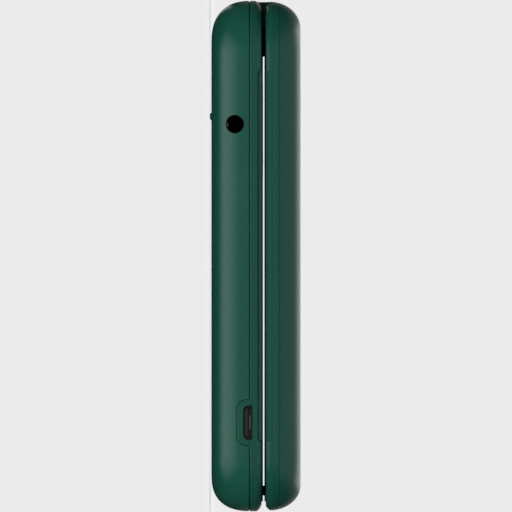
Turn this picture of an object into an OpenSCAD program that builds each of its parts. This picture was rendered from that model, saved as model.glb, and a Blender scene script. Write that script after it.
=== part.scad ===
// Clamshell phone, lying on its back: +X across, +Y towards the hinge, +Z up.
// The origin is on the surface that it lies on, under the middle of the phone.

/* [Phone] */
// Length from the hinge end to the open end
phone_l = 108; // [104:0.5:114]
// Width across the keys
phone_w = 55; // [54:0.5:60]
// Thickness of the base half, back to shell edge
base_t = 10.6; // [10.4:0.1:12]
// Thickness of the lid half, shell edge to outer face
lid_t = 7.4; // [7.4:0.1:9]
// Gap between the two shell edges when closed
shell_gap = 0.9; // [0.8:0.05:1.2]
// How far the lid stays inside the base's outline
lid_inset = 0.17; // [0:0.01:0.4]
// Corner radius seen from above
corner_r = 10; // [8:0.5:12]

/* [Base shell] */
// Inset of the rounded back edge
base_edge_d = 8.9; // [7:0.1:9.5]
// Height of the rounded back edge
base_edge_h = 8.6; // [7.6:0.1:8.8]
// Fullness of the rounded back edge
base_edge_n = 2.5; // [2:0.1:3]
// Height of the back cover
back_cover_h = 7.95; // [7.8:0.05:8.1]
// Seam between back cover and housing
seam = 0.15; // [0.05:0.05:0.2]
// Wall of the base shells
base_wall = 1.3; // [1:0.05:1.5]

/* [Lid shell] */
// Inset of the rounded outer edge
lid_edge_d = 7.6; // [6.5:0.1:8]
// Height of the rounded outer edge
lid_edge_h = 6.6; // [6:0.1:6.6]
// Fullness of the rounded outer edge
lid_edge_n = 2; // [2:0.1:2.5]
// Height of the inner frame, from the lid's shell edge
lid_frame_h = 2.85; // [2.8:0.05:3.1]
// Wall of the lid shells
lid_wall = 1.1; // [1:0.05:1.2]

/* [Inner edges] */
// Height of the rounded inner edge
lip_h = 1.15; // [0.9:0.05:1.2]
// Inset of the inner edge at the two ends
lip_end = 2; // [1.6:0.1:2.2]
// Inset of the inner edge along the sides
lip_side = 0.6; // [0.4:0.05:0.8]
// Depth of the finger recess along the sides
recess_d = 0.5; // [0.3:0.05:0.6]
// Height of the finger recess
recess_h = 0.75; // [0.5:0.05:0.9]
// Distance from the hinge end to the recess
recess_from = 15.1; // [12:0.1:18]
// Distance from the open end to the recess
recess_end = 14.7; // [12:0.1:18]

/* [Hinge] */
// Distance from the hinge end to the hinge axis
hinge_in = 3; // [2.9:0.05:3.2]
// Height of the hinge axis above the lid's shell edge
hinge_up = 2.7; // [2.6:0.05:2.8]
// Width of the fixed knuckle
knuckle_w = 27.7; // [24:0.1:30]
// Radius of the knuckle
knuckle_r = 3.9; // [3.8:0.05:4]
// Radial clearance between knuckle and lid
knuckle_clear = 0.2; // [0.15:0.05:0.3]
// Radius of the bore through the knuckle
knuckle_bore_r = 1.5; // [1.4:0.05:1.55]
// Radius of the hinge shaft
shaft_r = 0.9; // [0.8:0.05:1]
// Running clearance of shaft and bush
run_clear = 0.04; // [0.02:0.01:0.08]
// Length of shaft and bush inside each lid shoulder
shoulder_grip = 3.6; // [3:0.1:4.5]

/* [Keypad] */
// Distance from the sides to plate and glass
plate_side = 2.1; // [1.9:0.1:2.4]
// Distance from the hinge end to plate and glass
plate_from = 11.7; // [11.5:0.1:12]
// Distance from the open end to plate and glass
plate_end = 2; // [1.8:0.1:2.4]
// Thickness of the keypad plate
plate_t = 1.3; // [1.1:0.05:1.35]
// How far the plate stands above the shell edge
plate_proud = 0.19; // [0.1:0.01:0.22]
// Distance from the plate's sides to the number keys
key_margin = 1.7; // [1.6:0.1:2]
// Width of the web between number key columns
key_web = 1.2; // [1:0.1:3]
// Length of a number key
key_l = 12.2; // [11:0.1:12.4]
// Distance between number key rows
key_pitch_y = 13.6; // [13.2:0.1:13.8]
// Distance from the hinge end to the first row's centre
key_from = 46.8; // [46.6:0.1:47]
// Corner radius of the keys
key_r = 2.5; // [1:0.1:4]
// How far number keys stand above the shell edge
key_proud = 0.23; // [0.2:0.01:0.25]
// How far the upper keys stand above the shell edge
nav_proud = 0.32; // [0.25:0.01:0.36]
// Gap round every key
key_gap = 0.25; // [0.2:0.01:0.4]
// Key travel
key_travel = 0.3; // [0.2:0.01:0.32]
// Radius of the navigation ring
nav_r = 10.6; // [9:0.1:11]
// Radius of the centre key
ok_r = 4.6; // [3.5:0.1:5]
// Distance from the hinge end to the ring's centre
nav_from = 27.2; // [26.8:0.1:27.4]
// Distance between the ring and the soft, call and end keys
side_key_gap = 2.3; // [1.9:0.1:4]
// Length of the soft, call and end keys
side_key_l = 8.6; // [7:0.1:9]
// Distance of those keys from the plate's sides
side_key_margin = 1.9; // [1.6:0.1:2.3]

/* [Ports and stand-offs] */
// Radius of the hole for the headphone plug's socket
jack_hole_r = 1.965; // [1.9:0.005:2.05]
// Radius of the headphone socket's bore
jack_bore_r = 1.8; // [1.75:0.01:1.85]
// Length of the headphone socket
jack_l = 12; // [11:0.1:14]
// Height of the headphone socket's axis above the back
jack_z = 5; // [4.9:0.05:5.1]
// Distance from the hinge end to the headphone socket
jack_from = 26.2; // [25.6:0.1:26.4]
// Width of the data port's mouth
usb_w = 7.36; // [7:0.01:7.6]
// Height of the data port's mouth
usb_h = 1.98; // [1.8:0.01:2.1]
// Height of the mouth's lower edge above the back
usb_z = 6.75; // [6.7:0.01:6.8]
// Distance from the open end to the data port
usb_from = 18.7; // [18:0.1:19.5]
// Length of the surround of the data port
surround_w = 9.62; // [9.2:0.01:10.5]
// Height of the surround's lower edge above the back
surround_z = 5.33; // [5:0.01:5.5]
// Height of the stand-off nubs on the back
nub_h = 0.36; // [0.2:0.01:0.5]
// Radius of the stand-off nubs
nub_r = 0.685; // [0.5:0.005:0.9]
// Distance from the hinge end to the nubs
nub_from = 24.3; // [23:0.1:25]
// Radius of the rubber bumpers
bumper_r = 1.05; // [0.9:0.05:1.2]
// Distance from the open end to the bumpers
bumper_from = 4.5; // [4.2:0.1:5]

/* [Outer face] */
// Width of the outer window
window_w = 32; // [28:0.5:34]
// Length of the outer window
window_l = 38; // [32:0.5:40]
// Distance from the hinge end to the window's centre
window_from = 42; // [41:0.5:44]
// Thickness of windows and lenses
window_t = 0.8; // [0.6:0.05:0.9]
// Radius of the camera window
camera_r = 3.8; // [3.2:0.1:4]
// Distance from the hinge end to the camera
camera_from = 16; // [15.6:0.1:16.4]

/* [Inside] */
// Length of the battery
battery_l = 50; // [44:0.5:52]
// Thickness of the battery
battery_t = 4.5; // [4:0.1:4.55]
// Thickness of the circuit boards
board_t = 0.8; // [0.6:0.05:0.85]
// Length of the main display module
display_l = 61.6; // [58:0.1:62]
// Distance from the glass's sides to the display module
display_margin = 2.4; // [2.2:0.1:4]
// Thickness of the main display module
display_t = 1.9; // [1.6:0.05:1.95]
// Radius of the screw shanks
screw_r = 0.7; // [0.6:0.05:0.8]

/* [Hidden] */
$fn = 48;
corner_steps = 8;
edge_steps = 8;
lip_steps = 4;
eps = 0.01;
fit = 0.1;
loose = 0.3;
hinge_end = phone_l / 2;
half_w = phone_w / 2;
lid_z = base_t + shell_gap;
top_z = lid_z + lid_t;
parting_z = back_cover_h + seam;
lid_parting_z = lid_z + lid_frame_h;
lid_seam = 0.05;
axis_y = hinge_end - hinge_in;
axis_z = lid_z + hinge_up;
notch_r = knuckle_r + knuckle_clear;
knuckle_half = knuckle_w / 2;
notch_half = knuckle_half + 0.15;
shoulder_x = notch_half + shoulder_grip;
plate_top = base_t + plate_proud;
plate_z = plate_top - plate_t;
plate_y0 = -hinge_end + plate_end;
plate_y1 = hinge_end - plate_from;
plate_half_w = half_w - plate_side;
plate_corner = 8;
plate_top_corner = 3;
ledge_w = 1.3;
glass_z = lid_z - 0.23;
glass_t = 1;
key_rows = 4;
key_y = hinge_end - key_from;
key_pitch_x = (2 * (plate_half_w - key_margin) + key_web) / 3;
key_w = key_pitch_x - key_web;
side_key_w = plate_half_w - side_key_margin - nav_r - side_key_gap;
side_key_x = plate_half_w - side_key_margin - side_key_w / 2;
nav_y = hinge_end - nav_from;
key_base_z = parting_z + 1.25;
stem_r = 2.5;
boss_top = key_base_z - key_travel - 0.1;
mat_t = 0.35;
dome_t = 0.15;
board_z = back_cover_h - 1;
dome_z = board_z + board_t;
mat_z = dome_z + dome_t;
mat_top = mat_z + mat_t;
stem_z = mat_top + key_travel + 0.05;
board_half_w = half_w - base_wall - 1.6;
jack_y = hinge_end - jack_from;
usb_y = -hinge_end + usb_from;
usb_mid_z = usb_z + usb_h / 2;
nub_y = hinge_end - nub_from;
nub_x = 9;
side_control_z = jack_z;
side_control_h = 2.8;
volume_y = jack_y + 1;
volume_l = 15;
side_button_y = volume_y - 19;
side_button_l = 8;
side_stem_x = half_w - 3.7;
antenna_from = 3;
antenna_l = 6;
antenna_t = 0.4;
fence_t = 1;
fence_gap = 0.2;
battery_w = 2 * (half_w - base_wall - base_edge_d - loose);
battery_y0 = plate_y0 + antenna_from + antenna_l + fence_t + 2 * fence_gap;
battery_y1 = battery_y0 + battery_l;
battery_z = base_wall + 0.05;
chassis_z = battery_z + battery_t + 0.05;
chassis_t = board_z - fit - chassis_z;
chassis_half_w = half_w - base_wall - 3;
contacts_w = 10;
contacts_l = 2.4;
sim_w = 17;
sim_l = 7.5;
sim_t = 1.6;
sim_wall = 0.4;
sim_gap = 0.35;
speaker_w = 16;
speaker_l = 12;
speaker_t = 2.8;
motor_r = 4;
motor_t = 2.8;
motor_x = half_w - 12;
motor_y = nub_y + motor_r;
mic_x = 8.5;
mic_w = 4.4;
mic_l = 2.1;
mic_y = plate_y0 + 8.75;
jack_body_in = 4.2;
jack_body_w = 6.2;
jack_body_h = 4.8;
jack_tube_r = 2.3;
usb_in = 6.3;
usb_wall = 0.25;
usb_back = 0.5;
tongue_w = 3.2;
tongue_t = 0.46;
tongue_in = 1.9;
tongue_up = 1.21;
screw_x = plate_half_w - ledge_w - 1;
screw_ys = [plate_y1 - 4.2, plate_y0 + 5.5];
boss_r = 1.9;
head_r = 1.3;
head_h = 0.6;
window_y = hinge_end - window_from;
camera_y = hinge_end - camera_from;
camera_x = -6;
flash_x = 5.5;
flash_r = 1.8;
display_w = 2 * (plate_half_w - display_margin);
display_from = 12.5;
display_y = plate_y1 - display_from - display_l / 2;
display_z = glass_z + glass_t + 0.05;
lid_board_z = display_z + display_t + loose;
lid_board_w = 2 * (half_w - 8.5);
lid_board_l = 72;
lid_board_from = 3.3;
earpiece_y = plate_y1 - 5;
earpiece_w = 12;
earpiece_l = 5;
magnet_r = 2;
magnet_t = 1.5;
magnet_x = -screw_x + magnet_r;
magnet_y = plate_y0 + 7;
bumper_x = plate_half_w - 7.4;
lid_screw_x = half_w - 8;
lid_screw_ys = [plate_y1 + 2.1, -hinge_end + 4.2];
lid_head_z = glass_z + glass_t + 0.08;
can_x0 = -knuckle_half + 0.3;
can_l = 17;
chamber_r = 1.3;
shaft_bore_r = shaft_r + run_clear;

black = "#141615";
green = "#1f4e3e";

// ---- Rounded forms -------------------------------------------------------

// Inset of a rounded face edge at height z above the face.
function edge_in(d, h, n, z) = z >= h ? 0 : d * (1 - pow(1 - pow((h - z) / h, n), 1 / n));

// Share of the inner edge's inset at a distance s below that edge.
function lip_share(s) = s >= lip_h ? 0 : 1 - sqrt(max(0, 1 - pow((lip_h - s) / lip_h, 2)));

// Heights that follow a rounded face edge and then a rounded inner edge.
function edge_heights(h, n) =
    [for (i = [0:edge_steps]) h * (1 - pow(sin(90 * (1 - i / edge_steps)), 2 / n))];
function lip_heights(t) = [for (i = [0:lip_steps]) t - lip_h + lip_h * sin(90 * i / lip_steps)];

// Both, in rising order.
function shell_heights(t, h, n) =
    concat([for (z = edge_heights(h, n)) if (z < t - lip_h - 0.03) z], lip_heights(t));

// The heights of a list that lie between two cuts, with the cuts themselves.
function between(list, low, high) =
    concat([low], [for (z = list) if (z > low + 0.03 && z < high - 0.03) z], [high]);

// One level of a form: half width, half length, corner radius, height.
function level(w, l, side_in, end_in, z) =
    [w / 2 - side_in, l / 2 - end_in, max(0.6, corner_r - 0.6 * max(side_in, end_in)), z];

// Points of one level, anticlockwise seen from above.
function ring(v) = [for (q = [0:3]) for (i = [0:corner_steps])
    let (a = 90 * q + 90 * i / corner_steps,
         sx = (q == 0 || q == 3) ? 1 : -1,
         sy = (q == 0 || q == 1) ? 1 : -1)
    [sx * (v[0] - v[2]) + v[2] * cos(a), sy * (v[1] - v[2]) + v[2] * sin(a), v[3]]];

// A closed solid through a list of levels, lowest first.
module form(levels) {
    n = 4 * (corner_steps + 1);
    last = len(levels) - 1;
    polyhedron(
        points = [for (v = levels) each ring(v)],
        faces = concat(
            [[for (i = [0:n - 1]) i]],
            [[for (i = [0:n - 1]) last * n + n - 1 - i]],
            [for (k = [0:last - 1]) for (i = [0:n - 1])
                let (j = (i + 1) % n) [k * n + i, (k + 1) * n + i, (k + 1) * n + j]],
            [for (k = [0:last - 1]) for (i = [0:n - 1])
                let (j = (i + 1) % n) [k * n + i, (k + 1) * n + j, k * n + j]]),
        convexity = 4);
}

// Levels of a half shell's outside between two heights above its flat face.
function outside(w, l, t, d, h, n, low, high) =
    [for (z = between(shell_heights(t, h, n), low, high))
        let (lip = lip_share(t - z), edge = edge_in(d, h, n, z))
        level(w, l, edge + lip * lip_side, edge + lip * lip_end, z)];

// Levels of its inside: the same edge, scaled to start at the wall.
function inside(w, l, d, h, n, wall, high) =
    [for (z = between([for (s = edge_heights(h - wall, n)) s + wall], wall, high))
        let (edge = wall + edge_in(d, h - wall, n, z - wall))
        level(w, l, edge, edge, z)];

module base_outside(low, high, grow = 0)
    form(outside(phone_w + 2 * grow, phone_l + 2 * grow, base_t, base_edge_d, base_edge_h,
        base_edge_n, low, high));

module base_inside(high, shrink = 0)
    form(inside(phone_w, phone_l, base_edge_d, base_edge_h, base_edge_n,
        base_wall + shrink, high));

// The lid's forms are made face down and turned over.
module flip_lid() translate([0, 0, top_z]) mirror([0, 0, 1]) children();

module lid_outside(low, high)
    flip_lid() form(outside(phone_w - 2 * lid_inset, phone_l - 2 * lid_inset, lid_t,
        lid_edge_d, lid_edge_h, lid_edge_n, top_z - high, top_z - low));

module lid_inside(low)
    flip_lid() form(inside(phone_w - 2 * lid_inset, phone_l - 2 * lid_inset,
        lid_edge_d, lid_edge_h, lid_edge_n, lid_wall, top_z - low));

// ---- Helpers -------------------------------------------------------------

// Everything is drawn from the back plane up and stands on the nubs.
module on_nubs() translate([0, 0, nub_h]) children();

// A block between two corners.
module block(low, high) translate(low) cube(high - low);

// An upright plate with round corners, centred on x and y.
module plate(w, l, r, z, t) translate([0, 0, z]) {
    translate([-w / 2 + r, -l / 2, 0]) cube([w - 2 * r, l, t]);
    translate([-w / 2, -l / 2 + r, 0]) cube([w, l - 2 * r, t]);
    for (x = [-1, 1])
        for (y = [-1, 1])
            translate([x * (w / 2 - r), y * (l / 2 - r), 0]) cylinder(r = r, h = t);
}

// The face that plate and glass share: large corners at the open end.
module face_plate(margin, z, t) {
    w = plate_half_w - margin;
    y0 = plate_y0 + margin;
    y1 = plate_y1 - margin;
    r0 = plate_corner;
    r1 = plate_top_corner;
    translate([0, 0, z]) {
        translate([-w + r0, y0, 0]) cube([2 * (w - r0), r0, t]);
        translate([-w, y0 + r0, 0]) cube([2 * w, y1 - r1 - y0 - r0, t]);
        translate([-w + r1, y1 - r1, 0]) cube([2 * (w - r1), r1, t]);
        for (x = [-1, 1]) {
            translate([x * (w - r0), y0 + r0, 0]) cylinder(r = r0, h = t);
            translate([x * (w - r1), y1 - r1, 0]) cylinder(r = r1, h = t);
        }
    }
}

// A cylinder along X between two places.
module x_rod(r, x0, x1, y, z) translate([x0, y, z]) rotate([0, 90, 0]) cylinder(r = r, h = x1 - x0);

// The finger recesses on both sides, between two heights.
module finger_recess(z0, z1, depth, w) {
    for (x = [-1, 1])
        translate([x * w / 2, 0, 0])
            block([-depth, -hinge_end + recess_end, z0], [depth, hinge_end - recess_from, z1]);
}

// A round-cornered slot that runs along X.
module side_slot(x0, x1, y, z, l, h, r) translate([x0, y, z]) rotate([90, 0, 90])
    plate(l, h, r, 0, x1 - x0);

module screw(z0, z1) {
    translate([0, 0, z0]) cylinder(r = head_r, h = head_h);
    translate([0, 0, z0]) cylinder(r = screw_r, h = z1 - z0);
}

// ---- Base shells ---------------------------------------------------------

// Outline of the data port's surround, with room all round.
module surround(room, x0, x1) {
    r = 2.2;
    top = parting_z + 0.4;
    low = surround_z - room;
    w = surround_w / 2 + room;
    translate([0, usb_y, 0]) {
        x_rod(r, x0, x1, -w + r, low + r);
        x_rod(r, x0, x1, w - r, low + r);
        block([x0, -w + r, low], [x1, w - r, top]);
        block([x0, -w, low + r], [x1, w, top]);
    }
}

module usb_mouth(x0, x1, room = 0) {
    w = usb_w / 2 + room;
    z0 = usb_z - room;
    z1 = usb_z + usb_h + room;
    slant = 0.9;
    translate([x0, usb_y, 0]) rotate([90, 0, 90]) linear_extrude(x1 - x0)
        polygon([[-w + slant, z0], [w - slant, z0], [w, z0 + slant], [w, z1], [-w, z1],
            [-w, z0 + slant]]);
}

// Cut-outs of boards and sheets round the two sockets.
module usb_room()
    block([-half_w, usb_y - usb_w / 2 - 2 * loose, 0],
        [-half_w + usb_in + loose, usb_y + usb_w / 2 + 2 * loose, base_t]);

module jack_room()
    block([-half_w, jack_y - jack_body_w / 2 - loose, 0],
        [-half_w + jack_body_in + jack_l + loose, jack_y + jack_body_w / 2 + loose, base_t]);

module side_control_holes(room) {
    side_slot(side_stem_x, half_w + 1, volume_y, side_control_z, volume_l + 2 * room,
        side_control_h + 2 * room, 1.3);
    side_slot(side_stem_x, half_w + 1, side_button_y, side_control_z,
        side_button_l + 2 * room, side_control_h + 2 * room, 1.3);
}

module back_cover() color(green) on_nubs() {
    slots = 5;
    slot_pitch = 2.2;
    difference() {
        base_outside(0, back_cover_h);
        base_inside(back_cover_h + eps);
        surround(fit, -half_w - 1, -half_w + 5);
        x_rod(jack_hole_r, -half_w - 1, -half_w + 6, jack_y, jack_z);
        side_control_holes(0.15);
        for (i = [0:slots - 1])
            translate([0, nub_y + (i - (slots - 1) / 2) * slot_pitch, 0])
                plate(12, 1, 0.49, -1, base_wall + 2);
    }
    for (x = [-nub_x, nub_x])
        translate([x, nub_y, -nub_h]) cylinder(r = nub_r, h = nub_h + 0.2);
}

module base_housing() color(green) on_nubs() {
    wall_in = half_w - base_wall - 0.1;
    difference() {
        union() {
            difference() {
                base_outside(parting_z, base_t);
                face_plate(0, plate_z, plate_t);
                face_plate(ledge_w, parting_z - 1, base_t);
            }
            intersection() {
                base_outside(1, parting_z + 0.3);
                surround(0, -half_w - 1, -wall_in + 0.3);
            }
            for (x = [-screw_x, screw_x])
                for (y = screw_ys)
                    translate([x, y, board_z - 0.05])
                        cylinder(r = boss_r, h = boss_top - board_z + 0.05);
        }
        usb_mouth(-half_w - 1, -half_w + 6);
        block([-half_w + base_wall + loose, usb_y - usb_w / 2 - 2 * loose, surround_z],
            [-half_w + usb_in + fit, usb_y + usb_w / 2 + 2 * loose, plate_z - usb_wall]);
        finger_recess(base_t - recess_h, base_t + 1, recess_d, phone_w);
        for (x = [-screw_x, screw_x])
            for (y = screw_ys)
                translate([x, y, board_z - 1])
                    cylinder(r = screw_r + eps, h = boss_top - board_z + 0.8);
        knuckle_foot(0.05);
    }
}

// ---- Keypad --------------------------------------------------------------

function key_place(i) = [(i % 3 - 1) * key_pitch_x, key_y - floor(i / 3) * key_pitch_y];

module key_cap(w, l, r, top) {
    plate(w, l, r, key_base_z, base_t + top - key_base_z);
    translate([0, 0, stem_z]) cylinder(r = stem_r, h = key_base_z - stem_z + 0.2);
}

module number_key(i) color(black) on_nubs()
    translate(key_place(i)) key_cap(key_w, key_l, key_r, key_proud);

// Place of the soft, call and end keys: side -1 or 1, row -1 or 1.
function upper_place(side, row) = [side * side_key_x, nav_y + row * (nav_r - side_key_l / 2)];

module upper_key(side, row) color(black) on_nubs()
    translate(upper_place(side, row)) key_cap(side_key_w, side_key_l, key_r, nav_proud);

module ok_key() color(black) on_nubs() translate([0, nav_y, 0]) {
    translate([0, 0, key_base_z]) cylinder(r = ok_r, h = base_t + nav_proud - key_base_z);
    translate([0, 0, stem_z]) cylinder(r = stem_r, h = key_base_z - stem_z + 0.2);
}

module nav_ring() color(black) on_nubs() translate([0, nav_y, 0])
    difference() {
        translate([0, 0, key_base_z + 0.1])
            cylinder(r = nav_r, h = base_t + nav_proud - key_base_z - 0.1);
        translate([0, 0, parting_z]) cylinder(r = ok_r + key_gap, h = base_t);
    }

module nav_gimbal() color("#303332") on_nubs() translate([0, nav_y, 0])
    difference() {
        translate([0, 0, key_base_z - 0.35]) cylinder(r = ok_r + 2.4, h = 0.3);
        translate([0, 0, key_base_z - 1]) cylinder(r = ok_r + 0.8, h = 2);
    }

module keypad_plate() color(black) on_nubs()
    difference() {
        face_plate(0.05, plate_z, plate_t);
        for (i = [0:3 * key_rows - 1])
            translate(key_place(i))
                plate(key_w + 2 * key_gap, key_l + 2 * key_gap, key_r + key_gap,
                    plate_z - 1, plate_t + 2);
        for (side = [-1, 1])
            for (row = [-1, 1])
                translate(upper_place(side, row))
                    plate(side_key_w + 2 * key_gap, side_key_l + 2 * key_gap,
                        key_r + key_gap, plate_z - 1, plate_t + 2);
        translate([0, nav_y, plate_z - 1]) cylinder(r = nav_r + key_gap, h = plate_t + 2);
    }

// A sheet under the keys, cut round the screw bosses and the data port.
module key_sheet(z, t)
    difference() {
        face_plate(ledge_w + loose, z, t);
        usb_room();
        for (x = [-screw_x, screw_x])
            for (y = screw_ys)
                translate([x, y, z - 1]) cylinder(r = boss_r + loose, h = t + 2);
    }

module keypad_mat() color("#3a3d3c") on_nubs() key_sheet(mat_z, mat_t);

module dome_sheet() color("#b9bcc0") on_nubs() key_sheet(dome_z, dome_t);

// ---- Inside the base -----------------------------------------------------

module main_board() color("#1d5a33") on_nubs()
    difference() {
        translate([0, (plate_y0 + plate_y1) / 2, 0])
            plate(2 * board_half_w, plate_y1 - plate_y0 - 3, 8, board_z, board_t);
        for (x = [-screw_x, screw_x])
            for (y = screw_ys)
                translate([x, y, 0]) cylinder(r = boss_r + loose, h = base_t);
        usb_room();
        jack_room();
        translate([mic_x, mic_y, 0]) plate(mic_w + 2 * loose, mic_l + 2 * fence_gap, 0.2, 0, base_t);
    }

module base_chassis() color("#26292a") on_nubs() {
    fence_x = battery_w / 2 + fence_gap;
    difference() {
        translate([0, (plate_y0 + plate_y1) / 2, 0])
            plate(2 * chassis_half_w, plate_y1 - plate_y0 - 4, 6, chassis_z, chassis_t);
        usb_room();
        jack_room();
        for (x = [-screw_x, screw_x])
            for (y = screw_ys)
                translate([x, y, 0]) cylinder(r = screw_r + fit, h = base_t);
    }
    for (x = [-fence_x - fence_t, fence_x])
        block([x, battery_y0, battery_z + 1.4], [x + fence_t, battery_y1, chassis_z + fence_gap]);
    block([-contacts_w, battery_y0 - fence_gap - fence_t, battery_z + 0.6],
        [contacts_w, battery_y0 - fence_gap, chassis_z + fence_gap]);
}

module base_screws() color("#9a9da0") on_nubs()
    for (x = [-screw_x, screw_x])
        for (y = screw_ys)
            translate([x, y, 0]) screw(chassis_z - head_h - 0.02, boss_top - 0.4);

module battery() color("#2c2f33") on_nubs() translate([0, (battery_y0 + battery_y1) / 2, 0])
    plate(battery_w, battery_l, 1, battery_z, battery_t);

module battery_contacts() color("#c8a64a") on_nubs() {
    y0 = battery_y1 + 0.05;
    spring_l = 0.6;
    spring_w = 0.8;
    block([-contacts_w / 2, y0 + spring_l, battery_z + 1.2],
        [contacts_w / 2, y0 + spring_l + contacts_l, chassis_z - 0.05]);
    for (x = [-3, 0, 3])
        block([x - spring_w / 2, y0, battery_z + 2],
            [x + spring_w / 2, y0 + spring_l + 0.2, battery_z + 3.2]);
}

module sim_socket() color("#a9adb2") on_nubs() {
    y0 = battery_y1 + contacts_l + 0.65 + sim_gap;
    z1 = chassis_z - 0.05;
    slot_w = sim_w - 2;
    difference() {
        block([-sim_w / 2, y0, z1 - sim_t], [sim_w / 2, y0 + sim_l, z1]);
        block([-slot_w / 2, y0 - 1, z1 - sim_t + sim_wall],
            [slot_w / 2, y0 + sim_l - 1, z1 - sim_wall]);
    }
}

module loudspeaker() color("#1b1c1d") on_nubs() translate([0, nub_y, 0])
    plate(speaker_w, speaker_l, 2, base_wall + 0.05, speaker_t);

module headphone_jack() color(black) on_nubs()
    difference() {
        intersection() {
            union() {
                block([-half_w + jack_body_in, jack_y - jack_body_w / 2, jack_z - jack_body_h / 2],
                    [-half_w + jack_body_in + jack_l, jack_y + jack_body_w / 2,
                        jack_z + jack_body_h / 2]);
                x_rod(jack_tube_r, -half_w, -half_w + jack_body_in + 1, jack_y, jack_z);
            }
            base_inside(parting_z, fit);
        }
        x_rod(jack_bore_r, -half_w - 1, -half_w + jack_body_in + jack_l - 2, jack_y, jack_z);
    }

module usb_socket() color("#8d9093") on_nubs()
    difference() {
        block([-half_w + base_wall + 0.35, usb_y - usb_w / 2 - usb_wall, usb_z - usb_wall],
            [-half_w + usb_in, usb_y + usb_w / 2 + usb_wall, usb_z + usb_h + usb_wall]);
        usb_mouth(-half_w, -half_w + usb_in - usb_back);
    }

module usb_tongue() color("#3b3f40") on_nubs()
    block([-half_w + tongue_in, usb_y - tongue_w / 2, usb_z + tongue_up],
        [-half_w + usb_in - usb_back, usb_y + tongue_w / 2, usb_z + tongue_up + tongue_t]);

module microphone() color("#b6a46a") on_nubs()
    translate([mic_x, mic_y, 0]) plate(mic_w, mic_l, 0.2, board_z - fit, board_t);

module vibration_motor() color("#b0b3b6") on_nubs()
    translate([motor_x, motor_y, chassis_z - motor_t - 0.05]) cylinder(r = motor_r, h = motor_t);

module antenna() color("#b8864b") on_nubs()
    block([-battery_w / 2, plate_y0 + antenna_from, chassis_z - antenna_t - 0.05],
        [battery_w / 2, plate_y0 + antenna_from + antenna_l, chassis_z - 0.05]);

// ---- Side controls -------------------------------------------------------

module side_control(y, l) intersection() {
    union() {
        side_slot(side_stem_x + 0.7, half_w + 1, y, side_control_z, l, side_control_h, 1.15);
        block([side_stem_x, y - l / 2 - 0.6, side_control_z - 1.2],
            [side_stem_x + 0.75, y + l / 2 + 0.6, side_control_z + 1.2]);
    }
    base_outside(1, parting_z, 0.3);
    block([0, -hinge_end, 0], [half_w, hinge_end, base_t]);
}

module volume_rocker() color(green) on_nubs() side_control(volume_y, volume_l);

module side_key() color(green) on_nubs() side_control(side_button_y, side_button_l);

// ---- Hinge ---------------------------------------------------------------

// Foot of the knuckle, which stands in a pocket of the housing.
module knuckle_foot(room)
    block([-knuckle_half + 2 - room, axis_y - 2.5 - room, base_t - 1.6 - room],
        [knuckle_half - 2 + room, axis_y + 0.6 + room, base_t + 0.5]);

module knuckle_end_outline() intersection() {
    circle(r = knuckle_r);
    translate([-axis_y, -axis_z]) polygon(lid_end_outline());
}

// The lid's rounded hinge end without its inner edge, seen from the side: y to the right, z up.
function lid_end_outline() =
    let (zs = edge_heights(lid_edge_h, lid_edge_n))
    concat([[axis_y - 2 * knuckle_r, lid_z], [hinge_end - lid_inset, lid_z]],
        [for (i = [edge_steps:-1:0]) let (inset = edge_in(lid_edge_d, lid_edge_h, lid_edge_n, zs[i]))
            [hinge_end - lid_inset - inset, top_z - zs[i]]],
        [[axis_y - 2 * knuckle_r, top_z]]);

module hinge_knuckle() color(green) on_nubs()
    difference() {
        union() {
            translate([-knuckle_half, axis_y, axis_z]) rotate([90, 0, 90])
                linear_extrude(knuckle_w) knuckle_end_outline();
            difference() {
                block([-knuckle_half, axis_y - 2.6, base_t - 1.2],
                    [knuckle_half, hinge_end - lid_inset, axis_z - 2.5]);
                base_outside(parting_z, base_t, 0.02);
                block([-half_w, 0, 0], [half_w, hinge_end, base_t + 0.02 - lip_h]);
            }
            knuckle_foot(0);
        }
        x_rod(knuckle_bore_r, -half_w, half_w, axis_y, axis_z);
    }

module hinge_pad() color(black) on_nubs()
    block([-knuckle_half, plate_y1 + 0.1, base_t + 0.02], [knuckle_half, axis_y - 2.7, lid_z - fit]);

module hinge_can() color("#8f9295") on_nubs()
    difference() {
        x_rod(knuckle_bore_r - 0.02, can_x0, can_x0 + can_l, axis_y, axis_z);
        x_rod(shaft_bore_r, can_x0 - 1, can_x0 + 4, axis_y, axis_z);
        x_rod(chamber_r, can_x0 + 2.5, can_x0 + can_l - 1, axis_y, axis_z);
    }

module hinge_shaft() color("#b5b8bb") on_nubs()
    x_rod(shaft_r, -shoulder_x, can_x0 + 6, axis_y, axis_z);

module hinge_spring() color("#7c7f82") on_nubs()
    for (i = [0:5])
        translate([can_x0 + 7 + i * 1.4, axis_y, axis_z]) rotate([0, 90, 0])
            rotate_extrude() translate([0.85, 0]) circle(r = 0.36);

module hinge_bush() color("#a7aaad") on_nubs()
    difference() {
        x_rod(knuckle_bore_r - run_clear, knuckle_half - 5, shoulder_x, axis_y, axis_z);
        x_rod(shaft_r, 0, half_w, axis_y, axis_z);
    }

module hinge_flex() color("#b06a2c") on_nubs()
    x_rod(shaft_r - 0.15, knuckle_half - 5.5, shoulder_x + 0.6, axis_y, axis_z);

// ---- Lid -----------------------------------------------------------------

// Room for the knuckle as the lid turns about it.
module knuckle_notch() {
    x_rod(notch_r, -notch_half, notch_half, axis_y, axis_z);
    block([-notch_half, axis_y + 0.5, lid_z - 2], [notch_half, hinge_end + 1, top_z + 1]);
}

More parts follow.
